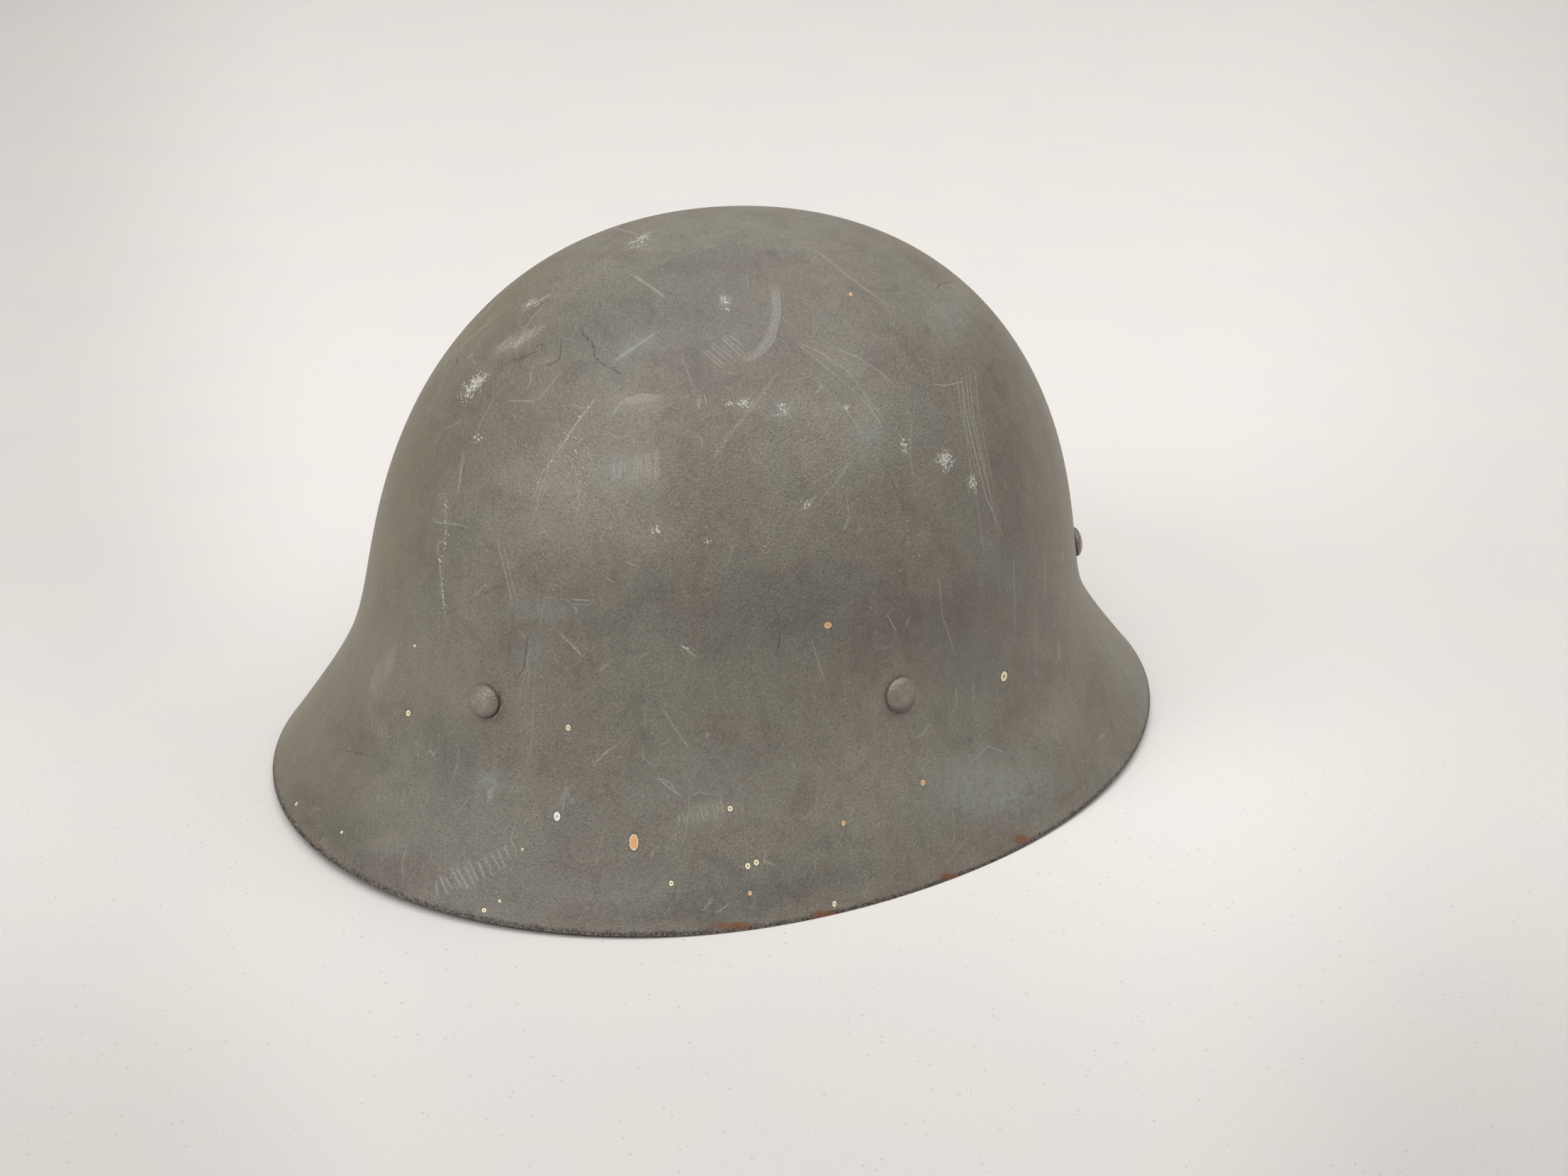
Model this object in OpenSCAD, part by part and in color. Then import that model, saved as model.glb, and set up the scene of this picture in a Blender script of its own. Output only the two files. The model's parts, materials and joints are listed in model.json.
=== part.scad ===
// Steel infantry helmet with a bell-shaped skirt, its riveted leather liner and its chin strap.
// The helmet faces -Y, +X is the wearer's left, +Z is up, and the rim rests on the plane z = 0.
// The origin is the middle of the helmet's footprint on that plane.

/* [Shell] */
// Half width of the dome at its foot
dome_half_w = 104; // [96:0.5:112]
// Crown axis to the front of the dome's foot
dome_front = 122.5; // [115:0.5:130]
// Crown axis to the back of the dome's foot
dome_back = 126.5; // [119:0.5:134]
// Height of the crown over the rim's lowest stretch
shell_h = 182.5; // [174:0.5:192]
// Height of the dome's foot, below which its own wall stands upright
dome_foot_z = 45; // [38:0.5:50]
// Fullness of the dome's profile, where 2 is an ellipse and more is squarer
dome_fullness = 2.27; // [2.1:0.01:2.5]
// Height of the bend where the skirt leaves the wall
bend_z = 45; // [40:0.5:50]
// Softness of that bend at the front
bend_soft_front = 22; // [14:0.5:26]
// Softness of that bend at the back
bend_soft_back = 15; // [11:0.5:26]
// How far the skirt flares out at the front
flare_front = 38.5; // [32:0.5:44]
// How far the skirt flares out at the back
flare_back = 36; // [30:0.5:44]
// How far the skirt flares out at each side
flare_side = 22.5; // [19:0.5:28]
// Rise of the rim at the front over the rim at the sides
rim_rise_front = 3.1; // [1:0.1:8]
// Rise of the rim at the back over the rim at the sides
rim_rise_back = 4.9; // [1:0.1:8]
// Depth trimmed level off the rim's lowest stretches
rim_trim = 0.3; // [0.2:0.05:0.6]
// Thickness of the steel sheet
wall = 1.2; // [1:0.05:1.6]

/* [Rivets] */
// Height of the ring of rivets
rivet_z = 60.8; // [58:0.2:64]
// Angle of the wearer's left front rivet from straight ahead
rivet_front_angle = 22; // [16:0.5:30]
// Angle of the right front rivet, which the photograph's outline hides
rivet_far_front_angle = 33; // [32:0.5:36]
// Angle of the back pair from straight behind
rivet_back_angle = 21; // [16:0.5:30]
// Diameter of the domed heads
rivet_head_d = 10.4; // [10:0.1:13]
// Height of the domed heads
rivet_head_h = 2.5; // [1.8:0.1:3.2]
// Diameter of the shanks
rivet_shank_d = 4; // [3:0.1:4.6]
// Diameter of the hammered tails inside
rivet_tail_d = 6.4; // [5.8:0.1:7]
// Height of the hammered tails
rivet_tail_h = 1.5; // [1:0.1:1.8]
// Diameter of the washers under the tails
washer_d = 7.6; // [7:0.1:8.4]
// Thickness of those washers
washer_t = 0.9; // [0.6:0.1:1.1]
// Diameter of the sleeves that hold the hoop off the shell
spacer_d = 8.6; // [7:0.1:9]

/* [Liner hoop] */
// Space between the shell and the hoop at the rivets
hoop_gap = 7; // [6.6:0.1:8]
// Thickness of the hoop
hoop_t = 1; // [0.8:0.1:1.4]
// Height of the hoop
hoop_h = 25; // [22:0.5:28]
// How far the hoop's lower edge lies below the rivets
hoop_below = 15; // [13:0.5:16]
// Number of small rivets that hold the leather to the hoop
hoop_rivet_count = 12; // [6:2:18]
// Shank diameter of those small rivets
hoop_rivet_d = 2.4; // [2:0.1:3]
// Head diameter of those small rivets
hoop_rivet_head_d = 5; // [4:0.1:5.6]
// Head height of those small rivets
hoop_rivet_head_h = 0.9; // [0.6:0.1:1.1]

/* [Leather liner] */
// Thickness of the leather
leather_t = 1.8; // [1.4:0.1:2.2]
// Height of the sweatband's flange on the hoop
flange_h = 6; // [5.4:0.1:7]
// How far the sweatband draws in from the hoop
sweat_inset = 18; // [15:0.5:20]
// Height of the sweatband from its lower edge to its upper edge
sweat_h = 42; // [39:0.5:46]
// How fast the sweatband draws in, where 1 is straight
sweat_curve = 1.7; // [1.5:0.1:2]
// Height of the liner's crown over the rest plane
liner_crown_z = 152; // [146:0.5:158]
// Fullness of the liner's crown
liner_fullness = 2.1; // [2:0.05:2.3]
// Share of the way to the crown axis where a tongue ends
tongue_end = 0.2; // [0.16:0.01:0.24]
// Slit left between two tongues at the sweatband
tongue_slit = 3; // [2:0.5:6]
// How far a tongue reaches down behind the sweatband
tongue_lap = 8; // [6:0.5:10]
// Share of the way to the crown axis where the lace runs
lace_ring = 0.3; // [0.29:0.01:0.33]
// Diameter of the lace
lace_d = 2; // [1.6:0.1:2.2]
// Height that the lace rises and dips as it weaves
lace_wave = 5.5; // [5:0.1:6]
// Bore of the eyelets
eyelet_bore_d = 7.6; // [7.2:0.1:8]
// Width of the eyelets' flange
eyelet_flange = 1.6; // [1.2:0.1:2]
// Thickness of the eyelets' sheet
eyelet_t = 0.4; // [0.3:0.05:0.5]

/* [Pads] */
// Thickness of the pads at their middle
pad_t = 14; // [11:0.5:15]
// Thickness of the pads at their edge
pad_edge_t = 4; // [3:0.5:6]
// Height of the pads
pad_h = 34; // [28:0.5:36]
// Half angle that the front pad covers
front_pad_half_angle = 34; // [24:1:40]
// Half angle that each rear pad covers
rear_pad_half_angle = 24; // [16:1:28]
// Angle of the rear pads from straight behind
rear_pad_angle = 46; // [40:1:56]

/* [Strap fittings] */
// Thickness of the lugs under the side rivets
lug_t = 1; // [0.8:0.1:1.2]
// Diameter of a lug round its rivet
lug_d = 12; // [10:0.5:13]
// Drop from the side rivet to the lug's eye
lug_drop = 12; // [11.5:0.5:14]
// Width of a lug's eye
lug_eye_w = 7; // [5:0.5:8]
// Radius of the strap rings
ring_r = 13; // [12:0.5:14.5]
// Wire diameter of the strap rings
ring_wire_d = 2.6; // [2.2:0.1:2.8]

/* [Chin strap] */
// Width of the strap
strap_w = 17; // [14:0.5:18]
// Thickness of one layer of the strap
strap_t = 2.2; // [1.8:0.1:2.4]
// Room in front of the strap where it lies inside the skirt, which sets its reach to the chin
strap_room = 10; // [8:0.5:20]
// How much the strap narrows from the cheeks to the chin
strap_taper = 0.15; // [0.1:0.01:0.2]
// Place of the buckle along the loop, in degrees from the wearer's left ring
buckle_angle = 40; // [38:1:46]
// Length of the strap's folded and riveted end
fold_len = 34; // [30:1:40]
// Length of the strap's end past the buckle
tail_len = 50; // [44:1:54]
// Spacing of the strap's punched holes
hole_step = 12; // [10:1:14]
// Number of punched holes past the one in use
hole_count = 4; // [2:1:5]
// Diameter of the punched holes
hole_d = 3.6; // [3:0.1:4]
// Length of the hole in use, worn long by the prong
worn_hole_l = 8.4; // [8:0.2:9]
// Distance between the buckle's bars
buckle_l = 17; // [16:0.5:19]
// Wire diameter of the buckle
buckle_wire_d = 2.5; // [2.2:0.1:2.7]
// Wall of the buckle's roller
roller_wall = 0.7; // [0.5:0.05:0.8]
// Diameter of the buckle's prong
prong_d = 2; // [1.6:0.1:2.2]
// Width of the prong's curl
prong_curl_w = 4; // [3:0.5:4.5]
// Wall of the prong's curl
prong_curl_wall = 0.9; // [0.7:0.05:1]
// Play of the strap across the buckle
buckle_play = 2.4; // [1.6:0.1:3]
// Length of the keeper along the strap
keeper_l = 9; // [7:0.5:12]
// Thickness of the keeper's leather
keeper_t = 1.5; // [1.2:0.1:1.8]
// Diameter of the strap rivets' heads
strap_rivet_d = 6; // [5:0.5:7]
// Height of the strap rivets' heads
strap_rivet_h = 0.8; // [0.5:0.1:1]
// Diameter of the strap rivets' shanks
strap_rivet_shank_d = 2.6; // [2:0.1:3]
// Distance of the first strap rivet from its ring
strap_rivet_first = 12; // [11:0.5:14]
// Spacing of the strap rivets
strap_rivet_step = 11; // [8:0.5:13]

/* [Clearances] */
// Radial clearance of a shank in its holes
shank_fit = 0.1; // [0.05:0.05:0.15]
// Radial clearance of the buckle's moving pieces on their bars
bar_fit = 0.08; // [0.05:0.01:0.1]
// Gap between layers that lie on each other
layer_gap = 0.15; // [0.1:0.05:0.2]
// Gap between curved layers of leather
lap_gap = 0.4; // [0.35:0.05:0.45]
// Gap under a flat head or washer on a curved wall
seat_gap = 0.4; // [0.3:0.05:0.45]
// Gap round the strap where it loops a ring or a bar
loop_gap = 0.25; // [0.2:0.05:0.3]
// Gap left under the strap where it lies on the rest plane
floor_gap = 0.2; // [0.1:0.05:0.3]

/* [Hidden] */

// How finely the curves are drawn
around_n = 72;
dome_rings = 14;
skirt_rings = 11;
sweat_rows = 8;
$fn = 48;
tiny = 0.01;

// Colours
paint = "#716b61";
old_paint = "#67625a";
bare_steel = "#8d8a84";
dull_steel = "#77746d";
tan_leather = "#8a5a34";
dark_leather = "#5e3b22";
felt_grey = "#8f8a7a";
cotton = "#b7a98a";

// Shell: a dome on an oval plan whose wall bends out into a skirt
crown_y = ((dome_front + flare_front) - (dome_back + flare_back)) / 2;
function mix(a, b, t) = a + (b - a) * t;
function plan_r(a) = let (half_l = cos(a) > 0 ? dome_front : dome_back)
    1 / norm([sin(a) / dome_half_w, cos(a) / half_l]);
function round_plan(side, front, back, a) =
    side + ((front + back) / 2 - side) * pow(cos(a), 2) + (front - back) / 2 * cos(a);
function flare(a) = round_plan(flare_side, flare_front, flare_back, a);
function rim_z(a) = max(0, round_plan(0, rim_rise_front, rim_rise_back, a) - rim_trim);
function bend_soft(a) = mix(bend_soft_back, bend_soft_front, (1 + cos(a)) / 2);
function bend_reach(a, z) = norm([bend_z - z, bend_soft(a)]) + bend_z - z;
function dome_share(z) = z <= dome_foot_z ? 1 :
    pow(1 - pow((z - dome_foot_z) / (shell_h - dome_foot_z), dome_fullness), 1 / dome_fullness);
function shell_r(a, z) =
    dome_share(z) * (plan_r(a) + flare(a) * bend_reach(a, z) / bend_reach(a, rim_z(a)));
function at_angle(a, r, z) = [r * sin(a), crown_y - r * cos(a), z];
function shell_point(a, z) = at_angle(a, shell_r(a, z), z);

// Outward normal of the shell, from its slope round and down the wall
slope_angle = 0.5;
slope_drop = 0.05;
function shell_normal(a, z) = let (
    r = shell_r(a, z),
    turn = (shell_r(a + slope_angle, z) - shell_r(a - slope_angle, z)) / (2 * slope_angle * PI / 180),
    lean = (r - shell_r(a, z - slope_drop)) / slope_drop,
    n = [r * sin(a) - turn * cos(a), -r * cos(a) - turn * sin(a), -r * lean])
    n / norm(n);
function inner_point(a, z) = shell_point(a, z) - wall * shell_normal(a, z);
function inner_rim_point(a) = let (n = shell_normal(a, rim_z(a)), level = [n.x, n.y, 0])
    shell_point(a, rim_z(a)) - wall * level / (level * level);
function dome_ring_z(k) = dome_foot_z
    + (shell_h - dome_foot_z) * pow(cos(90 * k / (dome_rings + 1)), 2 / dome_fullness);
function ring_z_at(a, k) = k <= dome_rings
    ? dome_ring_z(k)
    : mix(dome_ring_z(dome_rings), rim_z(a), (k - dome_rings) / skirt_rings);
shell_rings = dome_rings + skirt_rings;

// Faces of a closed surface of rings between two poles, and of a slab between two grids of points
function bowl_faces(rings, n) = let (last = rings * n + 1) concat(
    [for (i = [0:n - 1]) [0, 1 + (i + 1) % n, 1 + i]],
    [for (k = [0:rings - 2], i = [0:n - 1]) let (p = 1 + k * n + i, q = 1 + k * n + (i + 1) % n)
        each [[p, q, q + n], [p, q + n, p + n]]],
    [for (i = [0:n - 1]) [last - n + i, last - n + (i + 1) % n, last]]);

module slab(outer, inner, closed = false) {
    rows = len(outer);
    cols = len(outer[0]);
    deep = rows * cols;
    steps = closed ? cols : cols - 1;
    function at(r, c) = r * cols + c % cols;
    face = [for (r = [0:rows - 2], c = [0:steps - 1])
        let (p = at(r, c), q = at(r, c + 1), s = at(r + 1, c + 1), t = at(r + 1, c))
        each [[p, q, s], [p, s, t], [deep + p, deep + s, deep + q], [deep + p, deep + t, deep + s]]];
    edges = [for (c = [0:steps - 1])
        let (p = at(0, c), q = at(0, c + 1), s = at(rows - 1, c + 1), t = at(rows - 1, c))
        each [[q, p, deep + p], [q, deep + p, deep + q], [t, s, deep + s], [t, deep + s, deep + t]]];
    ends = closed ? [] : [for (r = [0:rows - 2])
        let (p = at(r, 0), t = at(r + 1, 0), q = at(r, cols - 1), s = at(r + 1, cols - 1))
        each [[p, t, deep + t], [p, deep + t, deep + p], [s, q, deep + q], [s, deep + q, deep + s]]];
    polyhedron(concat([for (r = outer) each r], [for (r = inner) each r]), concat(face, edges, ends));
}

// Rivet ring: angles round the shell, and a frame at each rivet whose +Z points out and +X down
rivet_angles = [-rivet_far_front_angle, rivet_front_angle, 90, 180 - rivet_back_angle,
    180 + rivet_back_angle, 270];
function is_side(a) = abs(cos(a)) < tiny;
function rivet_normal(a) = shell_normal(a, rivet_z);
function wall_lean(a) = asin(rivet_normal(a).z);
function heading(a) = atan2(rivet_normal(a).y, rivet_normal(a).x);
function skew(a) = cos(heading(a) + 90 - a);
function depth(a, inset) = inset * skew(a);
function seat_back(a, r) = wall / cos(wall_lean(a)) + r * tan(wall_lean(a)) + 2 * layer_gap / 3;
module rivet_frame(a) {
    translate(shell_point(a, rivet_z)) rotate([0, 90, heading(a)]) children();
}

hoop_inset = wall + hoop_gap;
hoop_z = rivet_z - hoop_below;
shank_hole_d = rivet_shank_d + 2 * shank_fit;
function hoop_r(a) = shell_r(a, rivet_z) - hoop_inset;

module shell() {
    points = concat(
        [[0, crown_y, shell_h]],
        [for (k = [1:shell_rings], i = [0:around_n - 1]) let (a = 360 * i / around_n)
            shell_point(a, ring_z_at(a, k))],
        [for (i = [0:around_n - 1]) inner_rim_point(360 * i / around_n)],
        [for (k = [1:shell_rings - 1], i = [0:around_n - 1]) let (a = 360 * i / around_n)
            inner_point(a, ring_z_at(a, shell_rings - k))],
        [[0, crown_y, shell_h - wall]]);
    color(paint) difference() {
        polyhedron(points, bowl_faces(2 * shell_rings, around_n));
        for (a = rivet_angles) rivet_frame(a)
            cylinder(h = 6 * wall, d = shank_hole_d, center = true);
    }
}

// One rivet: a domed head set square to the wall, a level shank and a hammered tail. Where the wall
// is hollow towards the bend, the head's edge stands on it.
function seat_rise(a, r) = max([for (side = [-1, 0, 1])
    (shell_point(a, rivet_z + side * r * cos(wall_lean(a))) - shell_point(a, rivet_z)) * rivet_normal(a)]);
function dome_profile(d, h) = let (r = (d * d / 4 + h * h) / (2 * h), half = asin(d / 2 / r))
    concat([[0, 0]], [for (i = [0:8]) [r * sin(half * (8 - i) / 8), r * cos(half * (8 - i) / 8) - r + h]]);
module button(d, h) {
    rotate_extrude() polygon(dome_profile(d, h));
}

module shell_rivets() {
    color(old_paint) for (a = rivet_angles) rivet_frame(a) {
        end = washer_low(a) - layer_gap;
        rotate([0, -wall_lean(a), 0]) translate([0, 0, seat_gap + seat_rise(a, rivet_head_d / 2)])
            button(rivet_head_d, rivet_head_h);
        translate([0, 0, end]) cylinder(h = rivet_head_h / 2 - end, d = rivet_shank_d);
        translate([0, 0, end]) rotate([180, 0, 0]) button(rivet_tail_d, rivet_tail_h);
    }
}

module tube(d, bore, h) {
    difference() {
        cylinder(h = h, d = d);
        translate([0, 0, -h]) cylinder(h = 3 * h, d = bore);
    }
}

function washer_low(a) = -depth(a, hoop_inset + hoop_t) - seat_gap - washer_t;
module rivet_washers() {
    color(bare_steel) for (a = rivet_angles) rivet_frame(a)
        translate([0, 0, washer_low(a)]) tube(washer_d, shank_hole_d, washer_t);
}

// A sleeve reaches from the hoop to the wall, or to the lug at a side rivet
function sleeve_end(a) = is_side(a) ? lug_face + lug_t + layer_gap : seat_back(a, spacer_d / 2);
module rivet_spacers() {
    color(dull_steel) for (a = rivet_angles) rivet_frame(a) {
        low = -depth(a, hoop_inset) + layer_gap;
        translate([0, 0, low]) tube(spacer_d, shank_hole_d, -sleeve_end(a) - low);
    }
}

// Strap lugs: a plate on the side rivet that curls into an eye for the ring
lug_face = seat_back(90, lug_d / 2);
ring_x = shell_r(90, rivet_z) - lug_face - lug_t / 2;
// A straight eye round a ring has to be wider by the ring's sag and by its wire's slant
function sag_in(w) = ring_r - sqrt(pow(ring_r, 2) - pow(w / 2, 2));
function slant_in(w) = ring_wire_d * (1 / cos(asin(w / 2 / ring_r)) - 1);
ring_sag = sag_in(lug_eye_w);
lug_bore_d = ring_wire_d + slant_in(lug_eye_w) + ring_sag + 2 * loop_gap;
lug_eye_d = lug_bore_d + 2 * lug_t;
module strap_lug() {
    color(dull_steel) difference() {
        union() {
            translate([0, 0, -lug_face - lug_t]) linear_extrude(lug_t) {
                circle(d = lug_d);
                polygon([[0, -lug_d / 2], [lug_drop, -lug_eye_w / 2], [lug_drop, lug_eye_w / 2],
                    [0, lug_d / 2]]);
            }
            translate([lug_drop, 0, -lug_face - lug_t / 2]) rotate([90, 0, 0])
                cylinder(h = lug_eye_w, d = lug_eye_d, center = true);
        }
        translate([0, 0, -lug_face - 2 * lug_t]) cylinder(h = 4 * lug_t, d = shank_hole_d);
        translate([lug_drop, 0, -lug_face - lug_t / 2]) rotate([90, 0, 0])
            cylinder(h = 2 * lug_eye_w, d = lug_bore_d, center = true);
    }
}
module left_strap_lug() {
    rivet_frame(90) strap_lug();
}
module right_strap_lug() {
    rivet_frame(270) strap_lug();
}

// Liner hoop: an oval steel strip that follows the shell's plan
function hoop_line(inset) = [for (i = [0:around_n - 1]) let (a = 360 * i / around_n,
    p = at_angle(a, hoop_r(a) - inset, 0)) [p.x, p.y]];
hoop_rivet_z = hoop_z + flange_h / 2;
hoop_rivet_angles = [for (i = [0:hoop_rivet_count - 1]) (i + 0.5) * 360 / hoop_rivet_count];
module hoop_frame(a) {
    p = at_angle(a, hoop_r(a), hoop_rivet_z);
    turn = (hoop_r(a + slope_angle) - hoop_r(a - slope_angle)) / (2 * slope_angle * PI / 180);
    translate(p) rotate([0, 90, a - 90 - atan2(turn, hoop_r(a))]) children();
}
module liner_hoop() {
    color(dull_steel) difference() {
        translate([0, 0, hoop_z]) linear_extrude(hoop_h) difference() {
            polygon(hoop_line(0));
            polygon(hoop_line(hoop_t));
        }
        for (a = rivet_angles) rivet_frame(a) translate([0, 0, -depth(a, hoop_inset)])
            cylinder(h = 6 * hoop_t, d = shank_hole_d, center = true);
        for (a = hoop_rivet_angles) hoop_frame(a)
            cylinder(h = 6 * hoop_t, d = hoop_rivet_d + 2 * shank_fit, center = true);
    }
}

// Small rivets through the hoop and the sweatband's flange
hoop_rivet_grip = hoop_t + leather_t + 2 * layer_gap;
module hoop_rivets() {
    color(bare_steel) for (a = hoop_rivet_angles) hoop_frame(a) {
        translate([0, 0, layer_gap]) button(hoop_rivet_head_d, hoop_rivet_head_h);
        translate([0, 0, -hoop_rivet_grip - layer_gap])
            cylinder(h = hoop_rivet_grip + 3 * layer_gap, d = hoop_rivet_d);
        translate([0, 0, -hoop_rivet_grip - layer_gap]) rotate([180, 0, 0])
            button(hoop_rivet_head_d, hoop_rivet_head_h);
    }
}

// Leather liner: place of its outer face as [inset from the hoop, height], v from 0 to 1 on the
// sweatband and from 1 to 2 over the crown
sweat_z = hoop_z + sweat_h;
flange_share = flange_h / sweat_h;
function sweat_draw(v) = v <= flange_share ? 0 :
    sweat_inset * (1 - pow(1 - (v - flange_share) / (1 - flange_share), sweat_curve));
function liner_r(a, v) = let (foot = hoop_r(a) - hoop_t - layer_gap) v <= 1
    ? foot - sweat_draw(v)
    : (foot - sweat_inset) * pow(cos(90 * (v - 1)), 2 / liner_fullness);
function liner_z(v) = v <= 1 ? hoop_z + sweat_h * v
    : sweat_z + (liner_crown_z - sweat_z) * pow(sin(90 * (v - 1)), 2 / liner_fullness);
liner_step = 0.002;
function liner_point(a, v, out = 0) = let (
    dr = liner_r(a, v + liner_step) - liner_r(a, v - liner_step),
    dz = liner_z(v + liner_step) - liner_z(max(0, v - liner_step)),
    n = v <= flange_share ? [1, 0] : [dz, -dr] / norm([dz, -dr]))
    at_angle(a, liner_r(a, v) + out * n.x, liner_z(v) + out * n.y);

module sweatband() {
    rows = concat([for (k = [0:sweat_rows - 3]) mix(1, flange_share, pow(k / (sweat_rows - 3), 1.3))],
        [flange_share / 2, 0]);
    color(tan_leather) difference() {
        slab([for (v = rows) [for (i = [0:around_n - 1]) liner_point(360 * i / around_n, v)]],
            [for (v = rows) [for (i = [0:around_n - 1]) liner_point(360 * i / around_n, v, -leather_t)]],
            closed = true);
        for (a = hoop_rivet_angles) hoop_frame(a)
            cylinder(h = 6 * leather_t, d = hoop_rivet_d + 2 * shank_fit, center = true);
    }
}

// Tongues: six strips that rise from the sweatband and end round the crown
tongue_angles = [for (i = [0:5]) 30 + 60 * i];
tongue_cols = 9;
tongue_rows = 11;
tongue_foot_v = 1 - tongue_lap / sweat_h;
tongue_end_v = 1 + acos(pow(tongue_end, liner_fullness / 2)) / 90;
lace_v = 1 + acos(pow(lace_ring, liner_fullness / 2)) / 90;
tongue_half_angle = 30 - tongue_slit / 2 / (dome_half_w - hoop_inset - sweat_inset) * 180 / PI;
function tongue_half(v) = tongue_half_angle * (1 - 0.14 * max(0, v - 1));
function tongue_line(a, v, out) = [for (c = [0:tongue_cols - 1])
    liner_point(a + tongue_half(v) * (2 * c / (tongue_cols - 1) - 1), v, out)];
function lace_level(a) = liner_point(a, lace_v, lap_gap + leather_t / 2);
function lace_turn(a) = atan2((liner_r(a + slope_angle, lace_v) - liner_r(a - slope_angle, lace_v))
    / (2 * slope_angle * PI / 180), liner_r(a, lace_v));
function lace_lean(a) = let (p = liner_point(a, lace_v - liner_step), q = liner_point(a, lace_v + liner_step))
    atan((q.z - p.z) / norm([p.x - q.x, p.y - q.y]) / cos(lace_turn(a)));
module eyelet_frame(a) {
    translate(lace_level(a)) rotate([0, lace_lean(a), a - 90 - lace_turn(a)]) children();
}
module tongue(i) {
    a = tongue_angles[i];
    rows = [for (k = [0:tongue_rows - 1]) mix(tongue_end_v, tongue_foot_v, k / (tongue_rows - 1))];
    color(tan_leather) difference() {
        slab([for (v = rows) tongue_line(a, v, lap_gap + leather_t)],
            [for (v = rows) tongue_line(a, v, lap_gap)]);
        eyelet_frame(a) cylinder(h = 4 * leather_t, d = eyelet_hole_d, center = true);
    }
}
module tongue_front_left() {
    tongue(0);
}
module tongue_left() {
    tongue(1);
}
module tongue_rear_left() {
    tongue(2);
}
module tongue_rear_right() {
    tongue(3);
}
module tongue_right() {
    tongue(4);
}
module tongue_front_right() {
    tongue(5);
}

// Eyelets: a short tube with a flange on each face of the leather
eyelet_hole_d = eyelet_bore_d + 2 * eyelet_t + 2 * shank_fit;
module lace_eyelets() {
    half = leather_t / 2 + lap_gap;
    color(bare_steel) for (a = tongue_angles) eyelet_frame(a) rotate_extrude() {
        translate([eyelet_bore_d / 2, -half]) square([eyelet_t, 2 * half]);
        for (z = [-half - eyelet_t, half]) translate([eyelet_bore_d / 2, z])
            square([eyelet_t + eyelet_flange, eyelet_t]);
    }
}

// Lace: one cord that weaves down and up through the eyelets
lace_points = 72;
lace_sides = 8;
lace_snap = 0.2;
function lace_place(t) = let (s = 3 * (t - tongue_angles[0]))
    lace_level(t) + [0, 0, lace_wave * (sin(s) + lace_snap * sin(3 * s))];
module closed_tube(path, r, sides) {
    n = len(path);
    points = [for (i = [0:n - 1]) let (
        ahead = path[(i + 1) % n] - path[(i + n - 1) % n],
        side = cross(ahead, [0, 0, 1]) / norm(cross(ahead, [0, 0, 1])),
        up = cross(side, ahead) / norm(ahead))
        each [for (k = [0:sides - 1]) path[i] + r * (cos(360 * k / sides) * side + sin(360 * k / sides) * up)]];
    faces = [for (i = [0:n - 1], k = [0:sides - 1]) let (
        p = i * sides + k, q = i * sides + (k + 1) % sides,
        s = ((i + 1) % n) * sides + (k + 1) % sides, t = ((i + 1) % n) * sides + k)
        each [[p, q, s], [p, s, t]]];
    polyhedron(points, faces);
}
module crown_lace() {
    color(cotton) closed_tube([for (i = [0:lace_points - 1]) lace_place(360 * i / lace_points)],
        lace_d / 2, lace_sides);
}

// Pads: crowned cushions behind the leather, thick in the middle and thin at the edge
pad_rows = 9;
pad_cols = 13;
pad_low_v = 1 - pad_h / 2 / sweat_h;
pad_high_v = 1 + pad_h / 2 / (liner_crown_z - sweat_z) * 0.72;
function pad_swell(u) = sqrt(1 - pow(abs(u), 3));
function pad_thick(u, w) = pad_edge_t + (pad_t - pad_edge_t) * pad_swell(u) * pad_swell(w);
function pad_grid(a, half, face) = [for (k = [0:pad_rows - 1]) let (w = 2 * k / (pad_rows - 1) - 1)
    [for (c = [0:pad_cols - 1]) let (u = 2 * c / (pad_cols - 1) - 1)
        liner_point(a + half * u, mix(pad_high_v, pad_low_v, (w + 1) / 2),
            lap_gap + leather_t + lap_gap + face * pad_thick(u, w))]];
module pad(a, half) {
    color(felt_grey) slab(pad_grid(a, half, 1), pad_grid(a, half, 0));
}
module front_pad() {
    pad(0, front_pad_half_angle);
}
module rear_left_pad() {
    pad(180 - rear_pad_angle, rear_pad_half_angle);
}
module rear_right_pad() {
    pad(180 + rear_pad_angle, rear_pad_half_angle);
}

// Strap rings: they turn in the lugs' eyes with the strap
ring_z = rivet_z - lug_drop - ring_r + ring_sag / 2;
module strap_ring(x) {
    color(dull_steel) translate([x, crown_y, ring_z]) rotate([0, 90, 0]) rotate_extrude()
        translate([ring_r, 0]) circle(d = ring_wire_d);
}
module left_strap_ring() {
    strap_ring(ring_x);
}
module right_strap_ring() {
    strap_ring(-ring_x);
}

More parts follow.
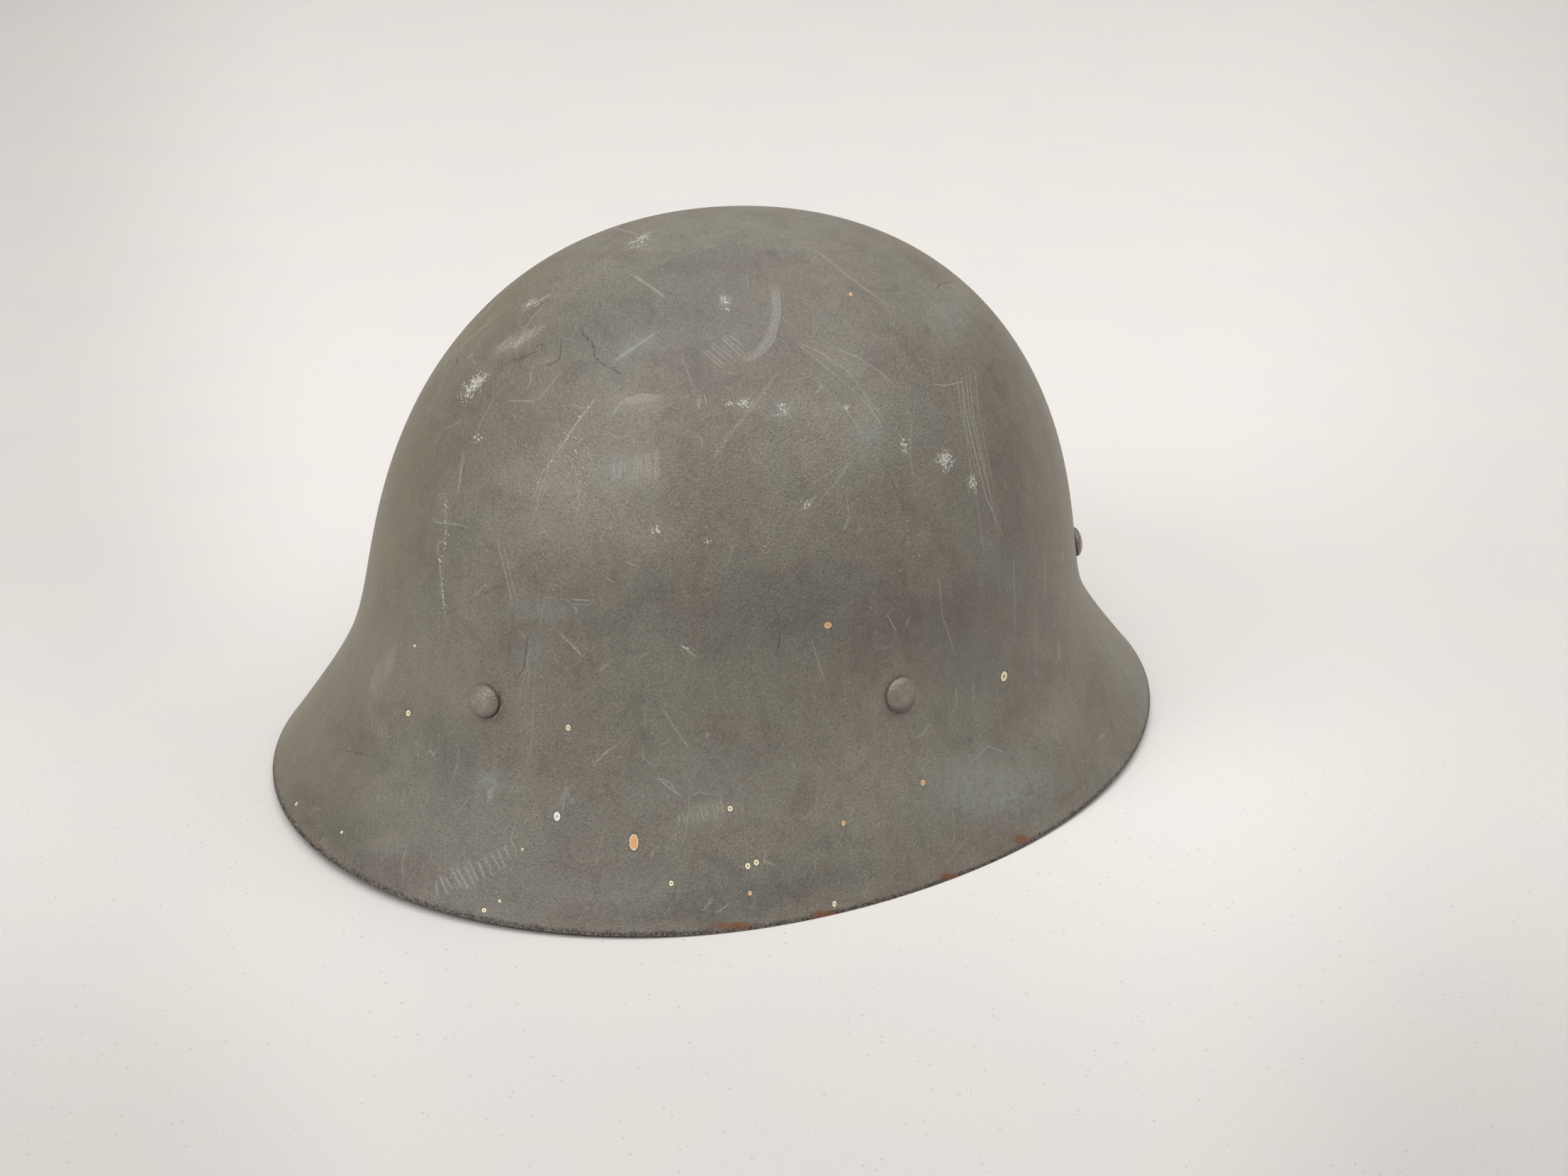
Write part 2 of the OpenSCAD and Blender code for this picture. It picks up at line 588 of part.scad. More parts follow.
// Strap loop: a U in a plane through the rings' axis, drawn with -Y ahead and the strap's width
// along Z, then tipped down until its front edge lies on the rest plane
strap_reach = shell_r(0, floor_gap + strap_w) - wall - strap_t - strap_room;
loop_end = strap_reach + strap_t;
strap_fall = asin((ring_z - floor_gap) / norm([loop_end, strap_w / 2])) - atan2(strap_w / 2, loop_end);
loop_depth = strap_reach - ring_r;
function loop_place(t) = [ring_x * cos(t) * (1 - strap_taper * pow(sin(t), 2)), -ring_r - loop_depth * sin(t)];
loop_step = 0.5;
function loop_heading(t) = let (d = loop_place(t + loop_step) - loop_place(t - loop_step)) atan2(d.y, d.x);
function loop_speed(t) = norm(loop_place(t + loop_step) - loop_place(t - loop_step)) / (2 * loop_step);
function loop_off(t, out) = loop_place(t) + out * [-sin(loop_heading(t)), cos(loop_heading(t))];
module strap_plane() {
    translate([0, crown_y, ring_z]) rotate([strap_fall, 0, 0]) children();
}
module strap_frame(t) {
    strap_plane() translate([loop_place(t).x, loop_place(t).y, 0]) rotate([0, 0, loop_heading(t)]) children();
}
module strap_width(w = strap_w) {
    strap_plane() translate([0, 0, -w / 2]) linear_extrude(w) children();
}

// The loop of leather round a ring or a bar; a ring's curve needs a longer eye than a straight bar
ring_slack = sag_in(strap_w) + slant_in(strap_w) / 2;
module capsule(d, l) {
    circle(d = d);
    translate([-l, 0]) circle(d = d);
    translate([-l, -d / 2]) square([l, d]);
}
module loop_point_2d(t, turn) {
    translate(loop_place(t)) rotate(loop_heading(t) + turn) children();
}
ring_eye_d = ring_wire_d + 2 * loop_gap;
bar_eye_d = buckle_wire_d + 2 * loop_gap;

// Offsets of the long strap's middle from the loop's line as it threads the buckle
roller_d = buckle_wire_d + 2 * bar_fit + 2 * roller_wall;
bar_clear = loop_gap + strap_t / 2;
function ahead_of(t, l) = loop_place(t) + l * [cos(loop_heading(t)), sin(loop_heading(t))];
front_angle = buckle_angle + buckle_l / loop_speed(buckle_angle);
buckle_lift = (ahead_of(buckle_angle, buckle_l) - loop_place(front_angle))
    * [-sin(loop_heading(front_angle)), cos(loop_heading(front_angle))];
under_front = buckle_lift - roller_d / 2 - bar_clear;
over_rear = bar_eye_d / 2 + strap_t + bar_clear;
over_short = strap_t + layer_gap + strap_t / 2;
thread_in_angle = 8;
thread_out_angle = 9;
function ease(t) = let (s = min(1, max(0, t))) s * s * (3 - 2 * s);
function long_offset(t) = t >= front_angle
    ? mix(under_front, strap_t / 2, ease((t - front_angle) / thread_in_angle))
    : t >= buckle_angle
        ? mix(over_rear, under_front, ease((t - buckle_angle) / (front_angle - buckle_angle)))
        : mix(over_rear, over_short, ease((buckle_angle - t) / thread_out_angle));

function ribbon(from, to, n, inner, outer) = concat(
    [for (i = [0:n]) let (t = mix(from, to, i / n)) loop_off(t, outer(t))],
    [for (i = [n:-1:0]) let (t = mix(from, to, i / n)) loop_off(t, inner(t))]);

// Strap rivets stand in the folded ends beside the rings
function near_left(mm) = mm / loop_speed(0);
strap_rivet_places = [for (k = [0, 1]) each let (t = near_left(strap_rivet_first + k * strap_rivet_step))
    [t, 180 - t]];
module rivet_holes() {
    for (t = strap_rivet_places) strap_frame(t) rotate([90, 0, 0])
        cylinder(h = 6 * strap_t, d = strap_rivet_shank_d + 2 * shank_fit, center = true);
}

module short_strap() {
    slot_w = prong_curl_w + 2 * loop_gap;
    color(dark_leather) difference() {
        union() {
            strap_width() polygon(ribbon(0, buckle_angle, 18, function (t) -strap_t, function (t) strap_t));
            strap_width() loop_point_2d(0, 0) capsule(ring_eye_d + 2 * strap_t, ring_slack);
            strap_width() loop_point_2d(buckle_angle, 0) circle(d = bar_eye_d + 2 * strap_t);
        }
        strap_width(2 * strap_w) loop_point_2d(0, 0) capsule(ring_eye_d, ring_slack);
        strap_width(2 * strap_w) loop_point_2d(buckle_angle, 0) circle(d = bar_eye_d);
        rivet_holes();
        strap_frame(buckle_angle) translate([-bar_eye_d / 2 - strap_t / 2, -2 * bar_eye_d, -slot_w / 2])
            cube([4 * bar_eye_d, 4 * bar_eye_d, slot_w]);
    }
}

// The long strap: folded round the right ring, plain under the chin, threaded through the buckle
tail_angle = buckle_angle - tail_len / loop_speed(buckle_angle / 2);
fold_angle = 180 - near_left(fold_len);
in_use_x = (buckle_l + roller_d) * 0.3;
long_places = [for (k = [1:hole_count]) buckle_angle + (in_use_x + k * hole_step) / loop_speed(buckle_angle)];
module tail_corners() {
    for (side = [-1, 1]) strap_frame(tail_angle) translate([0, over_short, side * strap_w / 2])
        rotate([90, 0, 0]) linear_extrude(4 * strap_t, center = true)
            polygon([[-strap_w, side * tiny], [-tiny, side * tiny], [strap_w * 0.55, side * tiny],
                [-tiny, -side * strap_w * 0.36], [-strap_w, -side * strap_w * 0.36]]);
}
module long_strap() {
    long_n = 96;
    punch = 12 * strap_t;
    stretch = (worn_hole_l - hole_d) / 2;
    color(dark_leather) difference() {
        union() {
            strap_width() polygon(ribbon(tail_angle, 180, long_n, function (t) long_offset(t) - strap_t / 2,
                function (t) long_offset(t) + strap_t / 2));
            strap_width() polygon(ribbon(fold_angle, 180, 8, function (t) -strap_t, function (t) strap_t / 2));
            strap_width() loop_point_2d(180, 180) capsule(ring_eye_d + 2 * strap_t, ring_slack);
        }
        strap_width(2 * strap_w) loop_point_2d(180, 180) capsule(ring_eye_d, ring_slack);
        rivet_holes();
        tail_corners();
        for (t = long_places) strap_frame(t) rotate([90, 0, 0])
            cylinder(h = punch, d = hole_d, center = true);
        strap_frame(buckle_angle) translate([in_use_x, 0, 0]) rotate([90, 0, 0]) {
            for (x = [-stretch, stretch]) translate([x, 0, 0]) cylinder(h = punch, d = hole_d, center = true);
            cube([2 * stretch, hole_d, punch], center = true);
        }
    }
}

module strap_rivets() {
    color(bare_steel) for (t = strap_rivet_places) strap_frame(t) {
        grip = strap_t + layer_gap;
        rotate([90, 0, 0]) cylinder(h = 2 * grip, d = strap_rivet_shank_d, center = true);
        for (turn = [90, -90]) rotate([turn, 0, 0]) translate([0, 0, grip - tiny])
            button(strap_rivet_d, strap_rivet_h);
    }
}

// Keeper: a band of leather round the short strap and the long strap's end
keeper_angle = mix(tail_angle, buckle_angle, 0.42);
keeper_fit = 2 * layer_gap;
module keeper_band(grow, l) {
    low = -strap_t - keeper_fit - grow;
    high = over_short + strap_t / 2 + keeper_fit + grow;
    half = strap_w / 2 + keeper_fit + grow;
    translate([-l / 2, low, -half]) cube([l, high - low, 2 * half]);
}
module strap_keeper() {
    color(dark_leather) strap_frame(keeper_angle) difference() {
        keeper_band(keeper_t, keeper_l);
        keeper_band(0, 2 * keeper_l);
    }
}

// Buckle: a wire frame with a roller on its front bar and a prong on its rear bar
buckle_w = strap_w + 2 * loop_gap + buckle_play;
module buckle_bar(x) {
    translate([x, 0, 0]) cylinder(h = buckle_w + buckle_wire_d, d = buckle_wire_d, center = true);
}
module buckle_frame() {
    side_z = (buckle_w + buckle_wire_d) / 2;
    color(bare_steel) strap_frame(buckle_angle) {
        for (x = [0, buckle_l]) {
            buckle_bar(x);
            for (z = [-side_z, side_z]) translate([x, 0, z]) sphere(d = buckle_wire_d);
        }
        for (z = [-side_z, side_z]) translate([0, 0, z]) rotate([0, 90, 0])
            cylinder(h = buckle_l, d = buckle_wire_d);
    }
}
module buckle_roller() {
    roller_w = buckle_w - 2 * loop_gap;
    color(bare_steel) strap_frame(buckle_angle) translate([buckle_l, 0, -roller_w / 2])
        tube(roller_d, buckle_wire_d + 2 * bar_fit, roller_w);
}

// Prong: a curl on the rear bar and a pin that rests over the roller
curl_bore_d = buckle_wire_d + 2 * bar_fit;
prong_from = [curl_bore_d / 2 + prong_curl_wall / 2, prong_d / 2 + 2 * layer_gap];
prong_over = [buckle_l, roller_d / 2 + prong_d / 2 + layer_gap];
module buckle_prong() {
    run = prong_over - prong_from;
    prong_l = norm(run) + roller_d / 2;
    color(bare_steel) strap_frame(buckle_angle) difference() {
        union() {
            translate([0, 0, -prong_curl_w / 2])
                cylinder(h = prong_curl_w, d = curl_bore_d + 2 * prong_curl_wall);
            translate([prong_from.x, prong_from.y, 0]) rotate([0, 0, atan2(run.y, run.x)]) {
                rotate([0, 90, 0]) cylinder(h = prong_l, d = prong_d);
                translate([prong_l, 0, 0]) sphere(d = prong_d);
            }
        }
        cylinder(h = 3 * prong_curl_w, d = curl_bore_d, center = true);
    }
}

shell();
shell_rivets();
rivet_washers();
rivet_spacers();
left_strap_lug();
right_strap_lug();
liner_hoop();
hoop_rivets();
sweatband();
tongue_front_left();
tongue_left();
tongue_rear_left();
tongue_rear_right();
tongue_right();
tongue_front_right();
lace_eyelets();
crown_lace();
front_pad();
rear_left_pad();
rear_right_pad();
left_strap_ring();
right_strap_ring();
short_strap();
long_strap();
strap_rivets();
strap_keeper();
buckle_frame();
buckle_roller();
buckle_prong();
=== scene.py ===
"""Looks of the steel helmet: worn paint, leather liner, felt pads and chin strap.

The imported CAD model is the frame. Every form below repeats the CAD source's own formulas in
millimetres, so a finer piece lies where its plain solid does. Angles run from the front of the
helmet (-Y) towards the wearer's left (+X).
"""

import json
import logging
import math
from dataclasses import dataclass
from enum import Enum
from typing import Callable, Iterable, Sequence

import bmesh
import bpy
import numpy as np
from mathutils import Matrix, Vector, geometry
from mathutils.bvhtree import BVHTree

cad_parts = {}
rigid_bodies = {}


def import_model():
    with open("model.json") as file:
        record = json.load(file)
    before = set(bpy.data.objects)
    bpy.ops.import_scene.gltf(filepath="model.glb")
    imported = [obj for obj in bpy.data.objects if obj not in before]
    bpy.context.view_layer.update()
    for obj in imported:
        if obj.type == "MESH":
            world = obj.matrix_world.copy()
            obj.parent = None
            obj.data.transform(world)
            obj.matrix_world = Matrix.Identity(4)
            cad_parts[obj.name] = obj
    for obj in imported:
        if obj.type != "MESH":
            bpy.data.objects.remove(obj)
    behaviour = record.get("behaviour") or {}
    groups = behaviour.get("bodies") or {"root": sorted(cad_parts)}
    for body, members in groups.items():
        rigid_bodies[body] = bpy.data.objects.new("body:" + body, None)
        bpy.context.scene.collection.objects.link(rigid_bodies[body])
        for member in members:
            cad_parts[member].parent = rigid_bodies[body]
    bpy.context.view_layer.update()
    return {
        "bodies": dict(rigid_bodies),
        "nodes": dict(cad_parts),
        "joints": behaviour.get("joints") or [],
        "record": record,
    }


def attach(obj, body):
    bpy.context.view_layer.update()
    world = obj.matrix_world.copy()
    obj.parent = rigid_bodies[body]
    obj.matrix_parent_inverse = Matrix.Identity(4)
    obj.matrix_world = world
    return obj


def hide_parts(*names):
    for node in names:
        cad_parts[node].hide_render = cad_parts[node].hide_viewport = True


log = logging.getLogger("helmet")

MM = 0.001
PHOTO_W, PHOTO_H = 2212, 1659


# Numbers and meshes

# One number or an array of them
Numbers = float | np.ndarray


def mix(a: Numbers, b: Numbers, t: Numbers) -> Numbers:
    """Returns the value a share t of the way from a to b."""
    return a + (b - a) * t


def ease(t: Numbers) -> Numbers:
    """Returns a smooth step from 0 to 1 over t from 0 to 1."""
    s = np.clip(t, 0.0, 1.0)
    return s * s * (3 - 2 * s)


def unit(v: np.ndarray) -> np.ndarray:
    """Returns vectors scaled to length 1 along their last axis."""
    return v / np.maximum(np.linalg.norm(v, axis=-1, keepdims=True), 1e-12)


def linear(code: str) -> tuple[float, float, float, float]:
    """Turns a written colour into the linear light that Blender's sockets take.

    Args:
        code: six hexadecimal digits, red first.

    Returns:
        Red, green, blue and an alpha of 1.
    """
    parts = [int(code[i : i + 2], 16) / 255 for i in (0, 2, 4)]
    light = [c / 12.92 if c <= 0.04045 else ((c + 0.055) / 1.055) ** 2.4 for c in parts]
    return (light[0], light[1], light[2], 1.0)


def run_along(path: np.ndarray) -> np.ndarray:
    """Returns the length of a path up to each of its points."""
    return np.concatenate([[0], np.cumsum(np.linalg.norm(np.diff(path, axis=0), axis=1))])


def grid_normals(points: np.ndarray, closed: bool = False) -> np.ndarray:
    """Finds the normals of a grid of points.

    Args:
        points: rows x columns x 3.
        closed: whether the last column joins the first.

    Returns:
        Unit normals on the side of (column direction) x (row direction).
    """
    down = np.gradient(points, axis=0)
    if closed:
        across = np.roll(points, -1, axis=1) - np.roll(points, 1, axis=1)
    else:
        across = np.gradient(points, axis=1)
    return unit(np.cross(across, down))


def quads(rows: int, cols: int, first: int = 0, closed: bool = False) -> list[tuple[int, ...]]:
    """Returns the faces of a grid of points numbered row by row from first.

    Args:
        rows: rows of points.
        cols: points in a row.
        first: number of the first point.
        closed: True where the last column joins the first.

    Returns:
        The faces.
    """
    steps = cols if closed else cols - 1
    out = []
    for r in range(rows - 1):
        for c in range(steps):
            p, q = first + r * cols + c, first + r * cols + (c + 1) % cols
            out.append((p, q, q + cols, p + cols))
    return out


def make_object(name: str, points: np.ndarray, faces: Sequence[Sequence[int]],
                material: bpy.types.Material | None = None) -> bpy.types.Object:
    """Makes a smooth mesh object at the origin.

    Args:
        name: the piece's name.
        points: its points in millimetres.
        faces: corner numbers of each face.
        material: its finish.

    Returns:
        The object, linked to the scene.
    """
    mesh = bpy.data.meshes.new(name)
    mesh.from_pydata((np.asarray(points, float) * MM).tolist(), [], [list(f) for f in faces])
    mesh.validate()
    mesh.shade_smooth()
    piece = bpy.data.objects.new(name, mesh)
    bpy.context.scene.collection.objects.link(piece)
    if material:
        mesh.materials.append(material)
    return piece


def turn_outwards(piece: bpy.types.Object) -> bpy.types.Object:
    """Turns the faces of each closed island of a piece outwards and returns the piece.

    Args:
        piece: a mesh of closed islands.

    Returns:
        The same piece.
    """
    work = bmesh.new()
    work.from_mesh(piece.data)
    bmesh.ops.recalc_face_normals(work, faces=work.faces)
    left = set(work.faces)
    while left:
        island, queue = [], [left.pop()]
        while queue:
            face = queue.pop()
            island.append(face)
            for edge in face.edges:
                for near in edge.link_faces:
                    if near in left:
                        left.remove(near)
                        queue.append(near)
        volume = sum(f.calc_area() * f.normal.dot(f.verts[0].co) for f in island)
        if volume < 0:
            bmesh.ops.reverse_faces(work, faces=island)
    work.to_mesh(piece.data)
    work.free()
    return piece


def baked(piece: bpy.types.Object) -> bpy.types.Mesh:
    """Returns a piece's mesh with its modifiers applied."""
    depsgraph = bpy.context.evaluated_depsgraph_get()
    return bpy.data.meshes.new_from_object(piece.evaluated_get(depsgraph), depsgraph=depsgraph)


def points_of(mesh: bpy.types.Mesh) -> np.ndarray:
    """Returns the points of a mesh in metres."""
    points = np.empty(len(mesh.vertices) * 3, np.float32)
    mesh.vertices.foreach_get("co", points)
    return points.reshape(-1, 3)


def write_attribute(mesh: bpy.types.Mesh, name: str, values: np.ndarray) -> None:
    """Stores three numbers at each point of a mesh for its material to read."""
    layer = mesh.attributes.new(name, "FLOAT_VECTOR", "POINT")
    layer.data.foreach_set("vector", np.asarray(values, np.float32).ravel())


# Shader graphs


class Value:
    """One output of a shader graph, which Python's operators combine into further nodes."""

    def __init__(self, graph: "Graph", socket: bpy.types.NodeSocket) -> None:
        """Keeps the graph and the socket.

        Args:
            graph: the graph that the value belongs to.
            socket: the output socket.
        """
        self.graph = graph
        self.socket = socket

    def _math(self, operation: str, *others, first=None) -> "Value":
        """Adds a Math node.

        Args:
            operation: the node's operation.
            others: the further inputs.
            first: the first input, where it is not this value.

        Returns:
            The node's value.
        """
        values = [self if first is None else first, *others]
        inputs = {i: v for i, v in enumerate(values)}
        return self.graph.node("ShaderNodeMath", {"operation": operation}, inputs)

    def __add__(self, other: "Value | float") -> "Value":
        """Returns the sum."""
        return self._math("ADD", other)

    def __sub__(self, other: "Value | float") -> "Value":
        """Returns the difference."""
        return self._math("SUBTRACT", other)

    def __mul__(self, other: "Value | float") -> "Value":
        """Returns the product."""
        return self._math("MULTIPLY", other)

    def __truediv__(self, other: "Value | float") -> "Value":
        """Returns the quotient."""
        return self._math("DIVIDE", other)

    def __pow__(self, other: "Value | float") -> "Value":
        """Returns the power."""
        return self._math("POWER", other)

    def __radd__(self, other: "Value | float") -> "Value":
        """Returns the sum, with this value second."""
        return self._math("ADD", self, first=other)

    def __rsub__(self, other: "Value | float") -> "Value":
        """Returns the difference, with this value second."""
        return self._math("SUBTRACT", self, first=other)

    def __rmul__(self, other: "Value | float") -> "Value":
        """Returns the product, with this value second."""
        return self._math("MULTIPLY", self, first=other)

    def __rtruediv__(self, other: "Value | float") -> "Value":
        """Returns the quotient, with this value second."""
        return self._math("DIVIDE", self, first=other)

    def __neg__(self) -> "Value":
        """Returns the value with its sign changed."""
        return self._math("MULTIPLY", -1.0)

    def __abs__(self) -> "Value":
        """Returns the value without its sign."""
        return self._math("ABSOLUTE")

    def least(self, other: "Value | float") -> "Value":
        """Returns the smaller of two values."""
        return self._math("MINIMUM", other)

    def most(self, other: "Value | float") -> "Value":
        """Returns the larger of two values."""
        return self._math("MAXIMUM", other)

    def step(self, low: float, high: float) -> "Value":
        """Returns a smooth step that is 0 at low and 1 at high, where low may be the larger."""
        return self.graph.node("ShaderNodeMapRange", {"interpolation_type": "SMOOTHSTEP"},
                               {"Value": self, "From Min": low, "From Max": high})

    def part(self, axis: int) -> "Value":
        """Returns one coordinate of a vector."""
        return self.graph.node("ShaderNodeSeparateXYZ", {}, {0: self}, out=axis)


class Graph:
    """A material's node tree, built by one method for every kind of node."""

    def __init__(self, name: str) -> None:
        """Starts an empty material.

        Args:
            name: the material's name.
        """
        self.material = bpy.data.materials.new(name)
        self.material.use_nodes = True
        self.tree = self.material.node_tree
        self.tree.nodes.clear()

    def node(self, kind: str, settings: dict | None = None, inputs: dict | None = None,
             out: int | str = 0) -> Value:
        """Adds a node.

        Args:
            kind: Blender's name of the node type.
            settings: properties of the node.
            inputs: socket name or number to a value, colour, vector or other node's output.
            out: name or number of the output to return.

        Returns:
            That output.
        """
        made = self.tree.nodes.new(kind)
        for key, value in (settings or {}).items():
            setattr(made, key, value)
        for key, value in (inputs or {}).items():
            if isinstance(value, Value):
                self.tree.links.new(value.socket, made.inputs[key])
            else:
                made.inputs[key].default_value = value
        return Value(self, made.outputs[out])

    def place(self) -> Value:
        """Returns the point's place on the object in millimetres."""
        at = self.node("ShaderNodeTexCoord", out="Object")
        return self.node("ShaderNodeVectorMath", {"operation": "SCALE"}, {0: at, "Scale": 1000.0})

    def noise(self, at: Value, size: float, detail: float = 2.0, rough: float = 0.5,
              warp: float = 0.0) -> Value:
        """Returns cloudy noise about 0.5 whose lumps are about size millimetres wide."""
        return self.node("ShaderNodeTexNoise", {}, {"Vector": at, "Scale": 1 / size,
                         "Detail": detail, "Roughness": rough, "Distortion": warp})

    def cells(self, at: Value, size: float, feature: str = "F1") -> Value:
        """Returns the distance to the middles or the edges of cells about size millimetres wide."""
        return self.node("ShaderNodeTexVoronoi", {"feature": feature},
                         {"Vector": at, "Scale": 1 / size}, out="Distance")

    def stretch(self, at: Value, scale: Sequence[float], turn: Sequence[float] = (0, 0, 0)) -> Value:
        """Returns the place squeezed along each axis, after a turn in degrees."""
        spun = self.node("ShaderNodeMapping", {}, {"Vector": at,
                         "Rotation": tuple(math.radians(t) for t in turn)})
        return self.node("ShaderNodeMapping", {}, {"Vector": spun, "Scale": tuple(scale)})

    def dots(self, at: Value, size: float, radius: "Value | float") -> Value:
        """Returns scattered round dots, 1 inside, in cells about size mm wide; radius in cells."""
        return (self.cells(at, size) - radius).step(0.07, -0.07)

    def hairs(self, at: Value, size: float, turn: Sequence[float], width: float) -> Value:
        """Returns long fine lines that run along one direction and break off here and there."""
        way = self.stretch(at, (1, 1, 0.045), turn)
        line = abs(self.noise(way, size, 1.2, 0.5) - 0.5).step(width, width * 0.25)
        return line * self.noise(way, size * 0.6, 2, 0.6).step(0.54, 0.66)

    def scaled(self, colour: Value, factor: Value) -> Value:
        """Returns a colour made lighter or darker."""
        return self.node("ShaderNodeVectorMath", {"operation": "SCALE"}, {0: colour, "Scale": factor})

    def read(self, name: str) -> Value:
        """Returns a stored attribute of the mesh."""
        return self.node("ShaderNodeAttribute", {"attribute_name": name}, out="Vector")

    def blend(self, share: "Value | float", a: "Value | str | Sequence[float]",
              b: "Value | str | Sequence[float]") -> Value:
        """Returns colour a with the share of colour b mixed in, where a written colour will do."""
        a, b = (linear(one) if isinstance(one, str) else one for one in (a, b))
        return self.node("ShaderNodeMix", {"data_type": "RGBA"}, {0: share, 6: a, 7: b}, out=2)

    def bump(self, height: Value, distance_mm: float, strength: float = 1.0) -> Value:
        """Returns the normal of a surface raised by a height from 0 to 1 of distance_mm."""
        return self.node("ShaderNodeBump", {}, {"Height": height, "Distance": distance_mm * MM,
                                                "Strength": strength})

    def finish(self, **inputs) -> bpy.types.Material:
        """Ends the graph in a Principled shader.

        Args:
            **inputs: its sockets, with underscores for spaces.

        Returns:
            The finished material.
        """
        named = {key.replace("_", " "): value for key, value in inputs.items()}
        shader = self.node("ShaderNodeBsdfPrincipled", {}, named, out="BSDF")
        end = self.tree.nodes.new("ShaderNodeOutputMaterial")
        self.tree.links.new(shader.socket, end.inputs["Surface"])
        return self.material


# Camera, floor and light


@dataclass(frozen=True)
class PhotoCamera:
    """The photograph's camera, fitted to the helmet's outline and rivets.

    The aim is a point on the helmet's axis, and the offset is that point's pixel in the picture.
    """

    focal_px: float = 3558.992
    distance: float = 861.905
    elevation: float = 24.691
    yaw: float = 58.709
    roll: float = 1.462
    aim: tuple[float, float, float] = (0.0, 0.0, 80.0)
    aim_px: tuple[float, float] = (1025.164, 725.926)

    def solve(self) -> tuple[np.ndarray, np.ndarray, np.ndarray, np.ndarray]:
        """Returns the camera's place and its right, up and forward directions, in millimetres."""
        yaw, lift = math.radians(self.yaw), math.radians(self.elevation)
        back = np.array([math.sin(yaw) * math.cos(lift), -math.cos(yaw) * math.cos(lift),
                         math.sin(lift)])
        place = np.array(self.aim) + self.distance * back
        level = np.array([math.cos(yaw), math.sin(yaw), 0.0])
        ahead = np.array([-math.sin(yaw), math.cos(yaw), 0.0])
        want_x = (self.aim_px[0] - PHOTO_W / 2) / self.focal_px
        want_y = -(self.aim_px[1] - PHOTO_H / 2) / self.focal_px
        heading, pitch = 0.0, lift
        for _ in range(8):
            flat = ahead * math.cos(heading) + level * math.sin(heading)
            right = level * math.cos(heading) - ahead * math.sin(heading)
            forward = flat * math.cos(pitch) + np.array([0, 0, -math.sin(pitch)])
            up = np.cross(right, forward)
            depth = -back @ forward
            heading += ((-back @ right) / depth - want_x) * 0.9 / math.cos(pitch)
            pitch -= ((-back @ up) / depth - want_y) * 0.9
        spin = math.radians(self.roll)
        return (place, right * math.cos(spin) + up * math.sin(spin),
                -right * math.sin(spin) + up * math.cos(spin), forward)

    def make(self) -> bpy.types.Object:
        """Creates the camera and returns it."""
        place, right, up, forward = self.solve()
        data = bpy.data.cameras.new("photo_camera")
        data.sensor_fit, data.sensor_width = "HORIZONTAL", 36.0
        data.lens = self.focal_px / PHOTO_W * 36.0
        data.clip_start, data.clip_end = 0.01, 50.0
        camera = bpy.data.objects.new("photo_camera", data)
        turned = Matrix((right, up, -forward)).transposed()
        camera.matrix_world = Matrix.Translation(Vector(place * MM)) @ turned.to_4x4()
        bpy.context.scene.collection.objects.link(camera)
        bpy.context.scene.camera = camera
        return camera

    def pixels(self, points: np.ndarray) -> np.ndarray:
        """Returns the photograph's pixel of each point.

        Args:
            points: points in millimetres.

        Returns:
            The pixels, one row each.
        """
        place, right, up, forward = self.solve()
        v = points - place
        z = v @ forward
        return np.stack([PHOTO_W / 2 + self.focal_px * (v @ right) / z,
                         PHOTO_H / 2 - self.focal_px * (v @ up) / z], axis=-1)

    def ray(self, x: float, y: float) -> tuple[Vector, Vector]:
        """Returns the start and the direction of the ray through a pixel, in metres."""
        place, right, up, forward = self.solve()
        way = (forward * self.focal_px + right * (x - PHOTO_W / 2) - up * (y - PHOTO_H / 2))
        return Vector(place * MM), Vector(way).normalized()


@dataclass(frozen=True)
class SoftLamp:
    """A large soft lamp that points at the helmet."""

    name: str
    azimuth: float
    elevation: float
    distance: float
    width: float
    power: float

    def make(self) -> bpy.types.Object:
        """Creates the lamp and returns it."""
        a, e = math.radians(self.azimuth), math.radians(self.elevation)
        way = Vector((math.sin(a) * math.cos(e), -math.cos(a) * math.cos(e), math.sin(e)))
        data = bpy.data.lights.new(self.name, "AREA")
        data.shape, data.size, data.energy = "DISK", self.width, self.power
        lamp = bpy.data.objects.new(self.name, data)
        lamp.location = Vector((0, 0, 0.08)) + way * self.distance
        lamp.rotation_euler = way.to_track_quat("Z", "Y").to_euler()
        bpy.context.scene.collection.objects.link(lamp)
        return lamp


